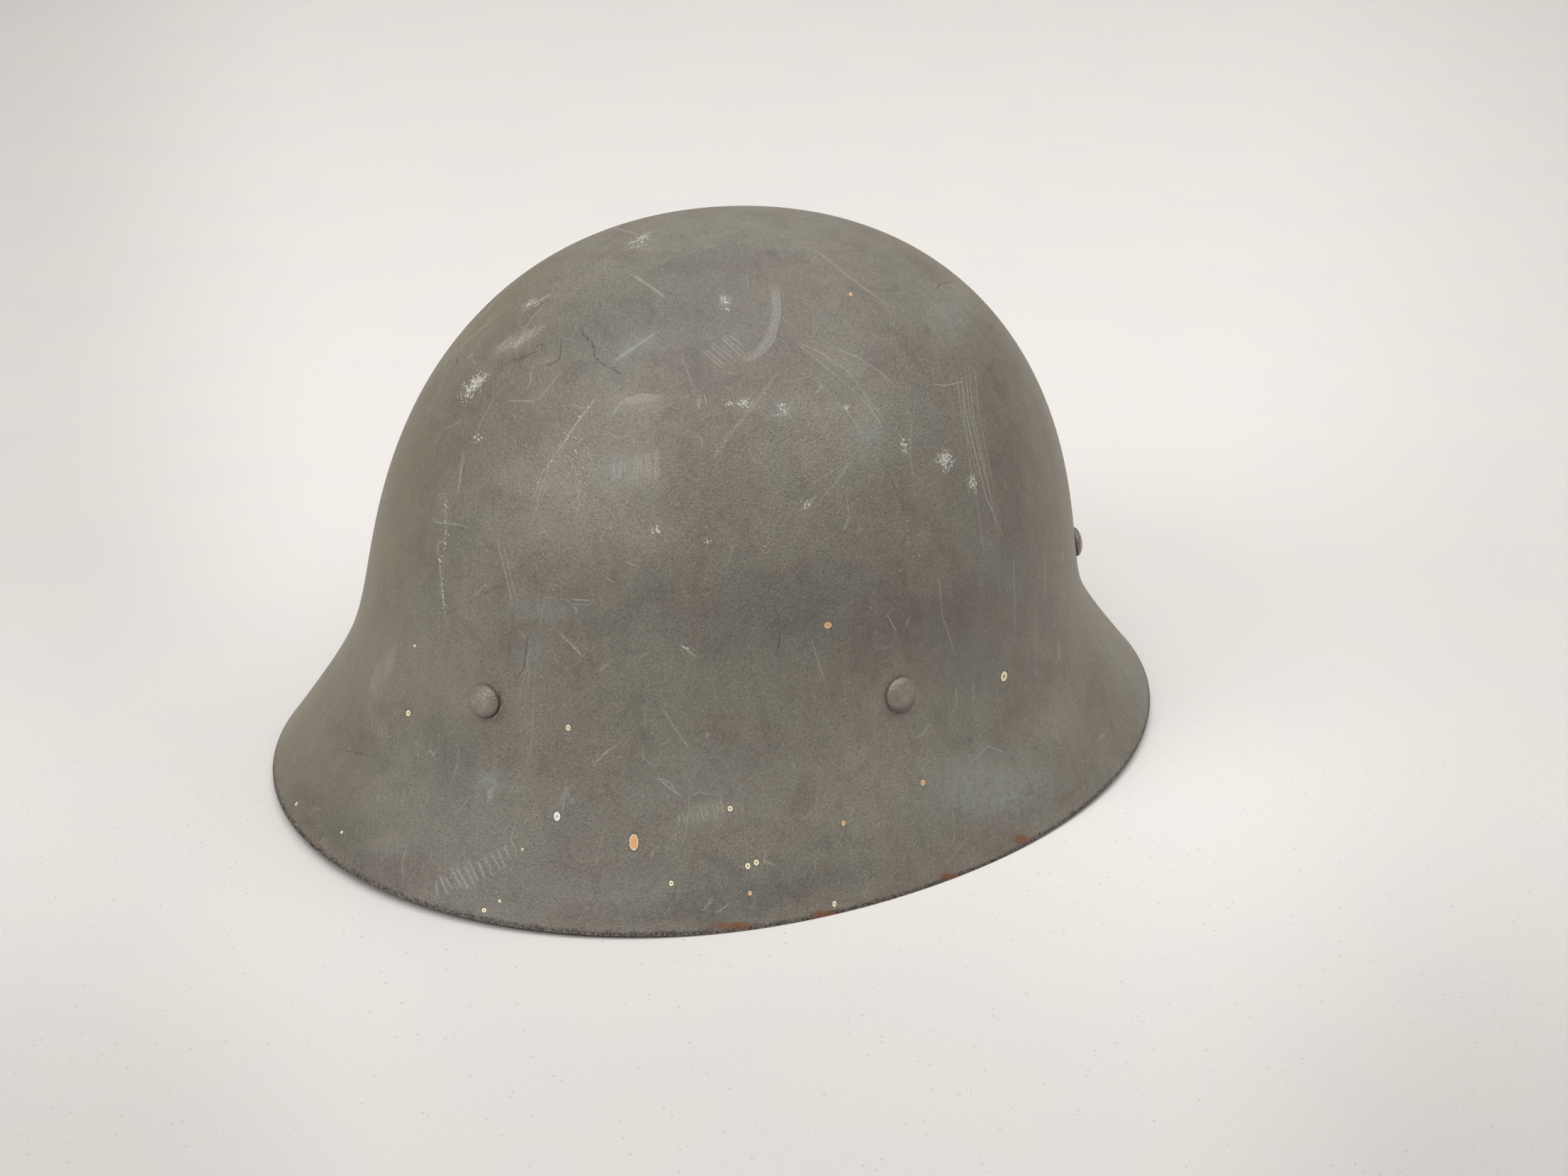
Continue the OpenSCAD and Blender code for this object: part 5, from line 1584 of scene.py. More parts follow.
class CutSheet:
    """A flat piece cut from leather, with softened edges, that bends into its place.

    Args:
        outline: the cut edge, in millimetres in the plane.
        holes: the edges of its holes.
        thickness: the leather's thickness.
        spacing: distance between the points inside.
    """

    def __init__(self, outline: np.ndarray, holes: Sequence[np.ndarray], thickness: float,
                 spacing: float = 1.6) -> None:
        """Keeps the outline and the holes.

        Args:
            outline: points of the edge.
            holes: points of each hole's edge.
            thickness: of the sheet.
            spacing: between inner points.
        """
        self.loops = [resample(outline, 1.1)] + [resample(h, 0.5) for h in holes]
        self.half = thickness / 2
        self.spacing = spacing
        self.soft = 0.55

    def _inside(self, where: np.ndarray) -> np.ndarray:
        """Returns which points lie in the leather."""
        odd = np.zeros(len(where), bool)
        for loop in self.loops:
            for p, q in zip(loop, np.roll(loop, -1, axis=0)):
                crosses = (p[1] > where[:, 1]) != (q[1] > where[:, 1])
                if crosses.any():
                    x = p[0] + (where[:, 1] - p[1]) * (q[0] - p[0]) / (q[1] - p[1] + 1e-12)
                    odd ^= crosses & (where[:, 0] < x)
        return odd

    def _depth(self, where: np.ndarray) -> np.ndarray:
        """Returns each point's distance from the nearest cut edge."""
        best = np.full(len(where), np.inf)
        for loop in self.loops:
            for p, q in zip(loop, np.roll(loop, -1, axis=0)):
                way = q - p
                t = np.clip((where - p) @ way / max(way @ way, 1e-12), 0, 1)
                best = np.minimum(best, np.hypot(*(where - p - t[:, None] * way).T))
        return best

    def make(self, name: str, place: Place, material: bpy.types.Material) -> bpy.types.Object:
        """Cuts the sheet and bends it.

        Args:
            name: the piece's name.
            place: gives the point in space of x, y and the height over the middle of the sheet.
            material: its finish.

        Returns:
            The piece.
        """
        low, high = self.loops[0].min(0), self.loops[0].max(0)
        xs = np.arange(low[0], high[0], self.spacing)
        ys = np.arange(low[1], high[1], self.spacing * 0.87)
        gx, gy = np.meshgrid(xs, ys)
        gx = gx + (np.arange(len(ys)) % 2)[:, None] * self.spacing / 2
        inner = np.stack([gx.ravel(), gy.ravel()], -1)
        inner = inner[self._inside(inner)]
        inner = inner[self._depth(inner) > 0.95]
        rims = []
        for loop in self.loops:
            way = unit(np.roll(loop, -1, axis=0) - np.roll(loop, 1, axis=0))
            side = np.stack([-way[:, 1], way[:, 0]], -1)
            for far in (0.16, 0.5):
                for sign in (1, -1):
                    rims.append(loop + side * far * sign)
        rim = np.concatenate(rims)
        rim = rim[self._inside(rim)]
        rim = rim[self._depth(rim) > 0.12]
        points = [Vector(p) for loop in self.loops for p in loop]
        edges, first = [], 0
        for loop in self.loops:
            edges += [(first + i, first + (i + 1) % len(loop)) for i in range(len(loop))]
            first += len(loop)
        points += [Vector(p) for p in np.concatenate([rim, inner])]
        flat, _, faces, *_ = geometry.delaunay_2d_cdt(points, edges, [], 0, 1e-5)
        flat = np.array([tuple(p) for p in flat])
        middles = np.array([flat[list(f)].mean(0) for f in faces])
        faces = [tuple(f) for f, keep in zip(faces, self._inside(middles)) if keep]
        deep = self._depth(flat)
        lip = np.sqrt(np.clip(1 - (1 - np.minimum(1, deep / self.soft)) ** 2, 0, 1))
        lift = self.half * mix(0.62, 1.0, lip)
        count = len(flat)
        space = np.concatenate([place(flat[:, 0], flat[:, 1], lift),
                                place(flat[:, 0], flat[:, 1], -lift)])
        sides: dict[tuple[int, int], int] = {}
        for f in faces:
            for i in range(3):
                sides[(f[i], f[(i + 1) % 3])] = 1
        walls = [(q, p, p + count, q + count) for p, q in sides if (q, p) not in sides]
        solid = faces + [tuple(i + count for i in f[::-1]) for f in faces] + walls
        used = np.unique(np.concatenate([np.array(f) for f in solid]))
        number = {int(old): new for new, old in enumerate(used)}
        solid = [tuple(number[i] for i in f) for f in solid]
        piece = make_object(name, space[used], solid, material)
        edge = np.zeros((len(used), 3))
        edge[:, 0] = np.concatenate([deep, deep])[used]
        write_attribute(piece.data, "edge", edge)
        return turn_outwards(piece)


def band(name: str, rings: np.ndarray, material: bpy.types.Material,
         edge: np.ndarray | None = None) -> bpy.types.Object:
    """Makes a closed band from a grid that joins up both ways.

    Args:
        name: the piece's name.
        rings: section points x places round the band x 3.
        material: its finish.
        edge: distance of each section point from the band's cut edge.

    Returns:
        The piece.
    """
    rows, cols = rings.shape[:2]
    closed = np.concatenate([rings, rings[:1]])
    faces = [tuple(i % (rows * cols) for i in f) for f in quads(len(closed), cols, 0, closed=True)]
    piece = make_object(name, rings.reshape(-1, 3), faces, material)
    if edge is not None:
        values = np.zeros((rows * cols, 3))
        values[:, 0] = np.repeat(edge, cols)
        write_attribute(piece.data, "edge", values)
    return turn_outwards(piece)


def tube(path: np.ndarray, radius: float, sides: int, closed: bool, lobes: int = 0,
         pitch: float = 6.0) -> tuple[np.ndarray, list[tuple[int, ...]]]:
    """Makes a tube or a twisted cord.

    Args:
        path: its middle line.
        radius: its largest radius.
        sides: points round it.
        closed: whether its end joins its start.
        lobes: strands of a twisted cord.
        pitch: length of one turn of the strands.

    Returns:
        Its points and faces.
    """
    if closed:
        ahead = unit(np.roll(path, -1, axis=0) - np.roll(path, 1, axis=0))
        run = np.cumsum(np.linalg.norm(path - np.roll(path, 1, axis=0), axis=1))
        turns = round(run[-1] / pitch)
        pitch = run[-1] / max(1, turns)
    else:
        ahead = unit(np.gradient(path, axis=0))
        run = run_along(path)
    side = unit(np.cross(ahead, [0.0, 0.0, 1.0]))
    over = np.cross(side, ahead)
    turn = np.linspace(0, 2 * math.pi, sides, endpoint=False)
    if lobes:
        phase = turn[None, :] + 2 * math.pi * run[:, None] / pitch
        reach = radius * (0.8 + 0.2 * np.abs(np.cos(lobes * phase / 2)) ** 0.6)
    else:
        reach = np.full((len(path), sides), radius)
    ring = (path[:, None] + (reach * np.cos(turn))[..., None] * side[:, None]
            + (reach * np.sin(turn))[..., None] * over[:, None])
    points = ring.reshape(-1, 3)
    rows = len(path)
    if closed:
        faces = [tuple(i % (rows * sides) for i in f) for f in quads(rows + 1, sides, 0, closed=True)]
    else:
        faces = quads(rows, sides, 0, closed=True)
        faces.append(tuple(range(sides))[::-1])
        faces.append(tuple(range((rows - 1) * sides, rows * sides)))
    return points, faces


class Stitching:
    """Rows of stitches, laid by one Geometry Nodes tree for the whole helmet."""

    def __init__(self, length: float = 2.6, width: float = 0.62, seed: int = 4) -> None:
        """Starts with no stitches.

        Args:
            length: of a stitch.
            width: of the thread.
            seed: of the small changes in the stitches' size.
        """
        self.length, self.width, self.seed = length, width, seed
        self.at: list[np.ndarray] = []
        self.way: list[np.ndarray] = []
        self.up: list[np.ndarray] = []

    def row(self, path: np.ndarray, up: np.ndarray, gap: float = 1.1) -> None:
        """Lays stitches end to end along a path, with up as the surface's normal there.

        Args:
            path: points of the path.
            up: normals along it.
            gap: between stitches.
        """
        run = run_along(path)
        step = self.length + gap
        at = np.arange(step / 2, run[-1] - step / 2 + 1e-6, step)
        def along(values: np.ndarray, s: np.ndarray) -> np.ndarray:
            """Returns the values at the distances s."""
            return np.stack([np.interp(s, run, values[:, k]) for k in range(3)], -1)
        self.at.append(along(path, at))
        self.way.append(unit(along(path, at + 0.5) - along(path, at - 0.5)))
        self.up.append(unit(along(up, at)))

    def _tree(self) -> tuple[bpy.types.NodeTree, dict[str, str]]:
        """Builds the tree and returns it with the identifiers of its inputs."""
        tree = bpy.data.node_groups.new("stitches", "GeometryNodeTree")
        face = tree.interface
        face.new_socket("Geometry", in_out="INPUT", socket_type="NodeSocketGeometry")
        named = {}
        for label, kind in (("Length", "NodeSocketFloat"), ("Width", "NodeSocketFloat"),
                            ("Seed", "NodeSocketInt"), ("Thread", "NodeSocketMaterial")):
            named[label] = face.new_socket(label, in_out="INPUT", socket_type=kind).identifier
        face.new_socket("Geometry", in_out="OUTPUT", socket_type="NodeSocketGeometry")

        def add(kind: str, settings: dict | None = None, inputs: dict | None = None) -> bpy.types.Node:
            """Adds one node to the tree and returns it."""
            made = tree.nodes.new(kind)
            for key, value in (settings or {}).items():
                setattr(made, key, value)
            for key, value in (inputs or {}).items():
                if isinstance(value, bpy.types.NodeSocket):
                    tree.links.new(value, made.inputs[key])
                else:
                    made.inputs[key].default_value = value
            return made

        start = add("NodeGroupInput").outputs
        ball = add("GeometryNodeMeshUVSphere", inputs={"Segments": 10, "Rings": 8, "Radius": 0.5})
        sizes = add("ShaderNodeCombineXYZ", inputs={"X": start["Length"], "Y": start["Width"],
                                                    "Z": start["Width"]})
        thread = add("GeometryNodeTransform", inputs={"Geometry": ball.outputs["Mesh"],
                                                      "Scale": sizes.outputs[0]})
        dots = add("GeometryNodeMeshToPoints", inputs={"Mesh": start["Geometry"]})
        way = add("GeometryNodeInputNamedAttribute", {"data_type": "FLOAT_VECTOR"}, {"Name": "way"})
        up = add("GeometryNodeInputNamedAttribute", {"data_type": "FLOAT_VECTOR"}, {"Name": "up"})
        first = add("FunctionNodeAlignRotationToVector", {"axis": "X"},
                    {"Vector": way.outputs["Attribute"]})
        turned = add("FunctionNodeAlignRotationToVector", {"axis": "Z", "pivot_axis": "X"},
                     {"Rotation": first.outputs[0], "Vector": up.outputs["Attribute"]})
        vary = add("FunctionNodeRandomValue", {"data_type": "FLOAT"},
                   {2: 0.86, 3: 1.08, "Seed": start["Seed"]})
        laid = add("GeometryNodeInstanceOnPoints", inputs={
            "Points": dots.outputs["Points"], "Instance": thread.outputs["Geometry"],
            "Rotation": turned.outputs[0], "Scale": vary.outputs[1]})
        real = add("GeometryNodeRealizeInstances", inputs={"Geometry": laid.outputs["Instances"]})
        smooth = add("GeometryNodeSetShadeSmooth", inputs={"Geometry": real.outputs["Geometry"]})
        dyed = add("GeometryNodeSetMaterial", inputs={"Geometry": smooth.outputs["Geometry"],
                                                      "Material": start["Thread"]})
        add("NodeGroupOutput", inputs={"Geometry": dyed.outputs["Geometry"]})
        return tree, named

    def make(self, name: str, material: bpy.types.Material) -> bpy.types.Object:
        """Creates all the stitches as one plain mesh and returns it.

        Args:
            name: the piece's name.
            material: the thread's material.

        Returns:
            The piece.
        """
        points = np.concatenate(self.at)
        holder = make_object(name + "_points", points, [])
        write_attribute(holder.data, "way", np.concatenate(self.way))
        write_attribute(holder.data, "up", np.concatenate(self.up))
        tree, named = self._tree()
        modifier = holder.modifiers.new("stitches", "NODES")
        modifier.node_group = tree
        modifier[named["Length"]] = self.length * MM
        modifier[named["Width"]] = self.width * MM
        modifier[named["Seed"]] = self.seed
        modifier[named["Thread"]] = material
        mesh = baked(holder)
        mesh.name = name
        piece = bpy.data.objects.new(name, mesh)
        bpy.context.scene.collection.objects.link(piece)
        bpy.data.objects.remove(holder)
        log.info("%s: %d stitches", name, len(points))
        return piece


# Finishes of the inside


@dataclass(frozen=True)
class LeatherFinish:
    """Old tanned leather: pebbled grain, creases, stains and burnished cut edges."""

    base: str
    light: str
    dark: str
    edge: str
    cell: float = 0.95
    roughness: float = 0.52

    def material(self, name: str) -> bpy.types.Material:
        """Builds the leather. Its mesh carries the distance from the cut edge.

        Args:
            name: the material's name.

        Returns:
            The material.
        """
        g = Graph(name)
        at = g.place()
        clouds = g.noise(at, 30, 3, 0.6, 0.4)
        stains = g.noise(at, 8, 4, 0.66, 0.9)
        rub = g.noise(at, 2.4, 4, 0.72, 0.5)
        fine = g.noise(at, 0.3, 2, 0.6)
        bent = g.node("ShaderNodeVectorMath", {"operation": "ADD"}, {0: at, 1: g.node(
            "ShaderNodeVectorMath", {"operation": "SCALE"}, {0: g.node(
                "ShaderNodeTexNoise", {}, {"Vector": at, "Scale": 0.4}, out="Color"), "Scale": 1.6})})
        grain = g.cells(bent, self.cell, "DISTANCE_TO_EDGE").step(0.0, 0.22)
        folds = g.cells(g.stretch(bent, (1.0, 1.0, 0.4)), 6.5, "DISTANCE_TO_EDGE")
        crease = folds.step(0.045, 0.0) * stains.step(0.5, 0.7) * clouds.step(0.45, 0.65)
        burnt = g.read("edge").part(0).step(1.6, 0.25)
        tone = g.blend(clouds.step(0.34, 0.66), self.base, self.light)
        tone = g.blend(stains.step(0.5, 0.72) * 0.55, tone, self.dark)
        tone = g.blend((1.0 - grain) * 0.35, tone, self.dark)
        tone = g.blend(crease * 0.4, tone, self.dark)
        tone = g.blend(rub.step(0.58, 0.76) * 0.3, tone, self.light)
        tone = g.blend(burnt * (0.55 + 0.4 * rub), tone, self.edge)
        height = grain * 0.55 + fine * 0.2 - crease * 0.5 + rub * 0.3
        rough = self.roughness + (stains - 0.5) * 0.25 - burnt * 0.08
        return g.finish(Base_Color=tone, Roughness=rough, Normal=g.bump(height, 0.16, 1.0),
                        Specular_IOR_Level=0.45)


@dataclass(frozen=True)
class FibreFinish:
    """Matt fibres: pressed felt, or spun cotton with its soiling."""

    base: str
    light: str
    dark: str
    fibre: float = 0.5
    depth: float = 0.25

    def material(self, name: str) -> bpy.types.Material:
        """Builds the fibres.

        Args:
            name: the material's name.

        Returns:
            The material.
        """
        g = Graph(name)
        at = g.place()
        clouds = g.noise(at, 14, 3, 0.6, 0.4)
        hair = g.noise(g.stretch(at, (1.0, 0.25, 0.6), (20, 0, 35)), self.fibre, 3, 0.7, 1.2)
        cross = g.noise(g.stretch(at, (0.25, 1.0, 0.6), (0, 25, 10)), self.fibre, 3, 0.7, 1.2)
        fluff = hair.most(cross)
        tone = g.blend(clouds.step(0.35, 0.68), self.base, self.dark)
        tone = g.blend(fluff.step(0.5, 0.72) * 0.6, tone, self.light)
        return g.finish(Base_Color=tone, Roughness=0.95 - fluff * 0.06, Specular_IOR_Level=0.25,
                        Normal=g.bump(fluff, self.depth, 1.0), Sheen_Weight=0.25,
                        Sheen_Roughness=0.6)


@dataclass(frozen=True)
class SteelFinish:
    """Old steel: brushed and tarnished metal with spots and films of rust."""

    metal: str
    tarnish: str
    rust: str
    rusting: float
    roughness: float

    def material(self, name: str) -> bpy.types.Material:
        """Builds the steel.

        Args:
            name: the material's name.

        Returns:
            The material.
        """
        g = Graph(name)
        at = g.place()
        clouds = g.noise(at, 9, 3, 0.6, 0.5)
        spots = g.noise(at, 1.5, 4, 0.72, 0.6)
        brush = g.noise(g.stretch(at, (1.0, 1.0, 0.12), (35, 20, 0)), 0.35, 2, 0.5)
        rusted = (clouds * 0.55 + spots * 0.6).step(0.62 - self.rusting, 0.78 - self.rusting)
        tone = g.blend(clouds.step(0.35, 0.65), self.metal, self.tarnish)
        tone = g.blend(spots.step(0.55, 0.75) * 0.4, tone, "3a3632")
        rust = g.blend(spots.step(0.35, 0.65), self.rust, "4a2c1c")
        tone = g.blend(rusted, tone, rust)
        rough = self.roughness + rusted * 0.4 + (brush - 0.5) * 0.12
        height = brush * 0.25 + rusted * spots * 1.2
        return g.finish(Base_Color=tone, Metallic=1.0 - rusted * 0.9, Roughness=rough,
                        Normal=g.bump(height, 0.08, 1.0))


class Finishes:
    """The inside's materials, each made once."""

    def __init__(self) -> None:
        """Builds the finishes that several pieces share."""
        self.liner = LeatherFinish("75523a", "896347", "493020", "38241a").material("liner_leather")
        self.strap = LeatherFinish("5b3b26", "74502f", "341f13", "24150d", cell=0.8,
                                   roughness=0.46).material("strap_leather")
        self.felt = FibreFinish("8d8878", "a9a492", "6c675a", 0.55, 0.35).material("pad_felt")
        self.cotton = FibreFinish("b5a788", "cfc3a6", "8b7c60", 0.3, 0.12).material("lace_cotton")
        self.thread = FibreFinish("a3906a", "bfae88", "6f5f43", 0.25, 0.08).material("waxed_thread")
        self.dull = SteelFinish("8c8881", "66625b", "7d4a2b", 0.1, 0.5).material("dull_steel")
        self.bright = SteelFinish("b3b0a9", "8f8b83", "86522f", 0.03, 0.32).material("bright_steel")

    def dress(self, nodes: dict[str, bpy.types.Object]) -> None:
        """Gives the carried-over CAD nodes their steel."""
        for finish, names in ((self.dull, ("rivet_washers", "rivet_spacers", "left_strap_lug",
                                           "right_strap_lug", "left_strap_ring", "right_strap_ring")),
                              (self.bright, ("hoop_rivets", "strap_rivets", "buckle_frame",
                                             "buckle_roller", "buckle_prong"))):
            for name in names:
                for slot in nodes[name].material_slots:
                    slot.material = finish


def settle(piece: bpy.types.Object, body: str, slot: str, *nodes: str) -> bpy.types.Object:
    """Gives a piece its body and hides the CAD nodes that it stands for.

    Args:
        piece: the finished piece.
        body: the body that it rides on.
        slot: its material slot, which is not used.
        nodes: the CAD nodes that it replaces.

    Returns:
        The same piece.
    """
    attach(piece, body)
    if nodes:
        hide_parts(*nodes)
    log.info("%s: %d faces", piece.name, len(piece.data.polygons))
    return piece


# Liner


@dataclass(frozen=True)
class LinerForm:
    """Sizes of the hoop and the leather liner, in millimetres, and the leather's surface."""

    shell: ShellForm
    rivet_z: float = 60.8
    hoop_gap: float = 7.0
    hoop_t: float = 1.0
    hoop_h: float = 25.0
    hoop_z: float = 45.8
    flange_h: float = 6.0
    sweat_h: float = 42.0
    sweat_inset: float = 18.0
    sweat_curve: float = 1.7
    crown_z: float = 152.0
    fullness: float = 2.1
    leather_t: float = 1.8
    layer_gap: float = 0.15
    lap_gap: float = 0.4
    tongue_half: float = 28.8953
    tongue_foot_v: float = 0.809524
    tongue_end_v: float = 1.88184
    lace_v: float = 1.81769
    lace_wave: float = 5.5
    lace_snap: float = 0.2
    lace_d: float = 2.0
    pad_low_v: float = 0.595238
    pad_high_v: float = 1.19065
    pad_t: float = 14.0
    pad_edge_t: float = 4.0

    def hoop_r(self, a: Numbers) -> Numbers:
        """Returns the hoop's outer distance from the crown's axis at angle a."""
        return self.shell.radius(a, self.rivet_z) - self.shell.wall - self.hoop_gap

    def radius(self, a: Numbers, v: Numbers) -> Numbers:
        """Returns the leather's distance from the axis, v from 0 to 1 on the band, to 2 above.

        Args:
            a: angle from the front.
            v: share.

        Returns:
            The distance.
        """
        share = self.flange_h / self.sweat_h
        t = np.clip((v - share) / (1 - share), 0, 1)
        draw = self.sweat_inset * (1 - (1 - t) ** self.sweat_curve)
        foot = self.hoop_r(a) - self.hoop_t - self.layer_gap
        over = np.cos(np.pi / 2 * np.clip(v - 1, 0, 1)) ** (2 / self.fullness)
        return (foot - draw) * over

    def height(self, v: Numbers) -> Numbers:
        """Returns the leather's height at v."""
        top = self.hoop_z + self.sweat_h
        rise = np.sin(np.pi / 2 * np.clip(v - 1, 0, 1)) ** (2 / self.fullness)
        return np.where(v <= 1, self.hoop_z + self.sweat_h * v, top + (self.crown_z - top) * rise)

    def point(self, a: Numbers, v: Numbers, out: Numbers = 0.0) -> np.ndarray:
        """Returns the point at angle a and share v, out from the leather band's outer face.

        Args:
            a: angle from the front.
            v: share.
            out: distance from the face.

        Returns:
            The point.
        """
        a, v, out = np.broadcast_arrays(np.asarray(a, float), np.asarray(v, float),
                                        np.asarray(out, float))
        step = 0.002
        dr = self.radius(a, v + step) - self.radius(a, v - step)
        dz = self.height(v + step) - self.height(np.maximum(0, v - step))
        long = np.hypot(dr, dz)
        flat = v <= self.flange_h / self.sweat_h
        n_r, n_z = np.where(flat, 1.0, dz / long), np.where(flat, 0.0, -dr / long)
        return self.shell.at(a, self.radius(a, v) + out * n_r, self.height(v) + out * n_z)

    def normal(self, a: float, v: float) -> np.ndarray:
        """Returns the outward normal of the leather."""
        round_way = self.point(a + 0.01, v) - self.point(a - 0.01, v)
        up = self.point(a, v + 0.002) - self.point(a, v - 0.002)
        return unit(np.cross(round_way, up))

    def lace(self, a: Numbers) -> np.ndarray:
        """Returns the lace's middle line at angle a.

        Args:
            a: angle from the front.

        Returns:
            The point.
        """
        a = np.asarray(a, float)
        s = 3 * (a - math.radians(30))
        lift = self.lace_wave * (np.sin(s) + self.lace_snap * np.sin(3 * s))
        level = self.point(a, self.lace_v, self.lap_gap + self.leather_t / 2)
        return level + lift[..., None] * np.array([0, 0, 1.0])


class Liner:
    """Hoop, sweatband, tongues, eyelets, lace and pads."""

    tongues = ("tongue_front_left", "tongue_left", "tongue_rear_left", "tongue_rear_right",
               "tongue_right", "tongue_front_right")

    def __init__(self, form: LinerForm, finishes: Finishes, stitching: Stitching) -> None:
        """Keeps the form, the finishes and the stitches.

        Args:
            form: the liner's sizes.
            finishes: the shared finishes.
            stitching: where its stitches go.
        """
        self.form = form
        self.finishes = finishes
        self.stitching = stitching

    def make(self) -> None:
        """Creates every piece of the liner."""
        self._hoop()
        self._sweatband()
        for i, name in enumerate(self.tongues):
            self._tongue(i, name)
        self._eyelets()
        self._lace()
        for name, middle, half in (("front_pad", 0.0, 34.0), ("rear_left_pad", 134.0, 24.0),
                                   ("rear_right_pad", 226.0, 24.0)):
            self._pad(name, math.radians(middle), math.radians(half))

    def _hoop(self) -> None:
        """Creates the smooth steel hoop."""
        f = self.form
        a = np.linspace(0, 2 * math.pi, 360, endpoint=False)
        r, top = f.hoop_r(a), f.hoop_z + f.hoop_h
        section = [(0.0, f.hoop_z + 0.3), (0.0, f.hoop_z + 8), (0.0, f.hoop_z + 16), (0.0, top - 0.3),
                   (0.22, top - 0.04), (0.5, top), (0.78, top - 0.04), (1.0, top - 0.3),
                   (1.0, f.hoop_z + 16), (1.0, f.hoop_z + 8), (1.0, f.hoop_z + 0.3),
                   (0.78, f.hoop_z + 0.04), (0.5, f.hoop_z), (0.22, f.hoop_z + 0.04)]
        rings = np.stack([f.shell.at(a, r - inset, z) for inset, z in section])
        settle(band("liner_hoop_strip", rings, self.finishes.dull), "helmet", "dull_steel",
               "liner_hoop")

    def _sag(self, a: np.ndarray, v: np.ndarray) -> np.ndarray:
        """Returns how far the old leather band has bulged inwards between its fixings.

        Args:
            a: angles.
            v: shares.

        Returns:
            The distances.
        """
        wave = 0.5 + 0.5 * np.sin(6 * a + 0.9 * np.sin(3 * a + 1.0) + 0.6)
        ripple = 0.5 + 0.5 * np.sin(23 * a + 4 * np.sin(5 * v + 2 * a))
        fade = np.clip((v - 0.2) / 0.3, 0, 1) * np.clip((1.02 - v) / 0.3, 0.25, 1)
        return fade * (0.55 * wave + 0.18 * ripple) + 0.12 * ripple * np.clip(v - 0.6, 0, 1)

    def _sweatband(self) -> None:
        """Creates the leather band, drawn in from the hoop, with its two seams."""
        f = self.form
        a = np.linspace(0, 2 * math.pi, 420, endpoint=False)
        rise = np.concatenate([[0.008], np.linspace(0.03, 0.97, 30), [0.992]])
        section = [(v, 0.0) for v in rise] + [(0.998, -0.3), (1.0, -0.9), (0.998, -1.5)]
        section += [(v, -f.leather_t) for v in rise[::-1]] + [(0.002, -1.5), (0.0, -0.9), (0.002, -0.3)]
        rings = np.stack([f.point(a, v, out - self._sag(a, np.full_like(a, v))) for v, out in section])
        edge = np.array([min(v, 1 - v) * f.sweat_h for v, _ in section])
        piece = band("leather_sweatband", rings, self.finishes.liner, edge)
        settle(piece, "helmet", "liner_leather", "sweatband")
        for v in (0.862, 0.948):
            for i in range(6):
                turn = np.radians(30 + 60 * i + np.linspace(-27.5, 27.5, 160))
                inside = f.point(turn, v, -f.leather_t - 0.08 - self._sag(turn, np.full_like(turn, v)))
                outside = f.point(turn, v, f.lap_gap + f.leather_t + 0.02)
                up = np.array([f.normal(t, v) for t in turn])
                self.stitching.row(inside, -up)
                self.stitching.row(outside, up)

    def _tongue(self, index: int, name: str) -> None:
        """Creates one tongue: a petal of leather with a hole for its eyelet.

        Args:
            index: number of the tongue from the front.
            name: its name.
        """
        f = self.form
        middle = math.radians(30 + 60 * index)
        v = np.linspace(f.tongue_foot_v, f.tongue_end_v, 260)
        line = f.point(middle, v, f.lap_gap + f.leather_t / 2)
        run = run_along(line)
        reach = f.radius(middle, v)
        half = np.radians(f.tongue_half) * (1 - 0.14 * np.maximum(0, v - 1)) * reach
        tip = np.clip((run - run[-1] + 7.5) / 7.5, 0, 1)
        half = half * (1 - tip ** 2.6) ** (1 / 2.6) + 0.02
        outline = np.concatenate([np.stack([half, run], -1), np.stack([-half, run], -1)[::-1]])
        eye = float(np.interp(f.lace_v, v, run))
        rng = np.random.default_rng(20 + index)
        lean, curl = rng.uniform(-1, 1), rng.uniform(0.35, 0.8)

        def place(x: np.ndarray, y: np.ndarray, h: np.ndarray) -> np.ndarray:
            """Returns the points of the bent sheet."""
            at_v = np.interp(y, run, v)
            r = np.interp(y, run, reach)
            free = ease((at_v - 1.22) / 0.3) * ease((f.lace_v - 0.12 - at_v) / 0.12)
            width = np.interp(y, run, half)
            side = np.clip(np.abs(x) / np.maximum(width, 1), 0, 1)
            drop = free * (curl * side**4 + 0.3 * (0.5 + 0.5 * np.sin(y / 6.5 + lean * x / 9)))
            return f.point(middle + x / r, at_v, f.lap_gap + f.leather_t / 2 + h - drop)

        sheet = CutSheet(outline, [oval(0, eye, 4.45, 4.45)[::-1]], f.leather_t, 1.9)
        settle(sheet.make("leather_" + name, place, self.finishes.liner), "helmet",
               "liner_leather", name)

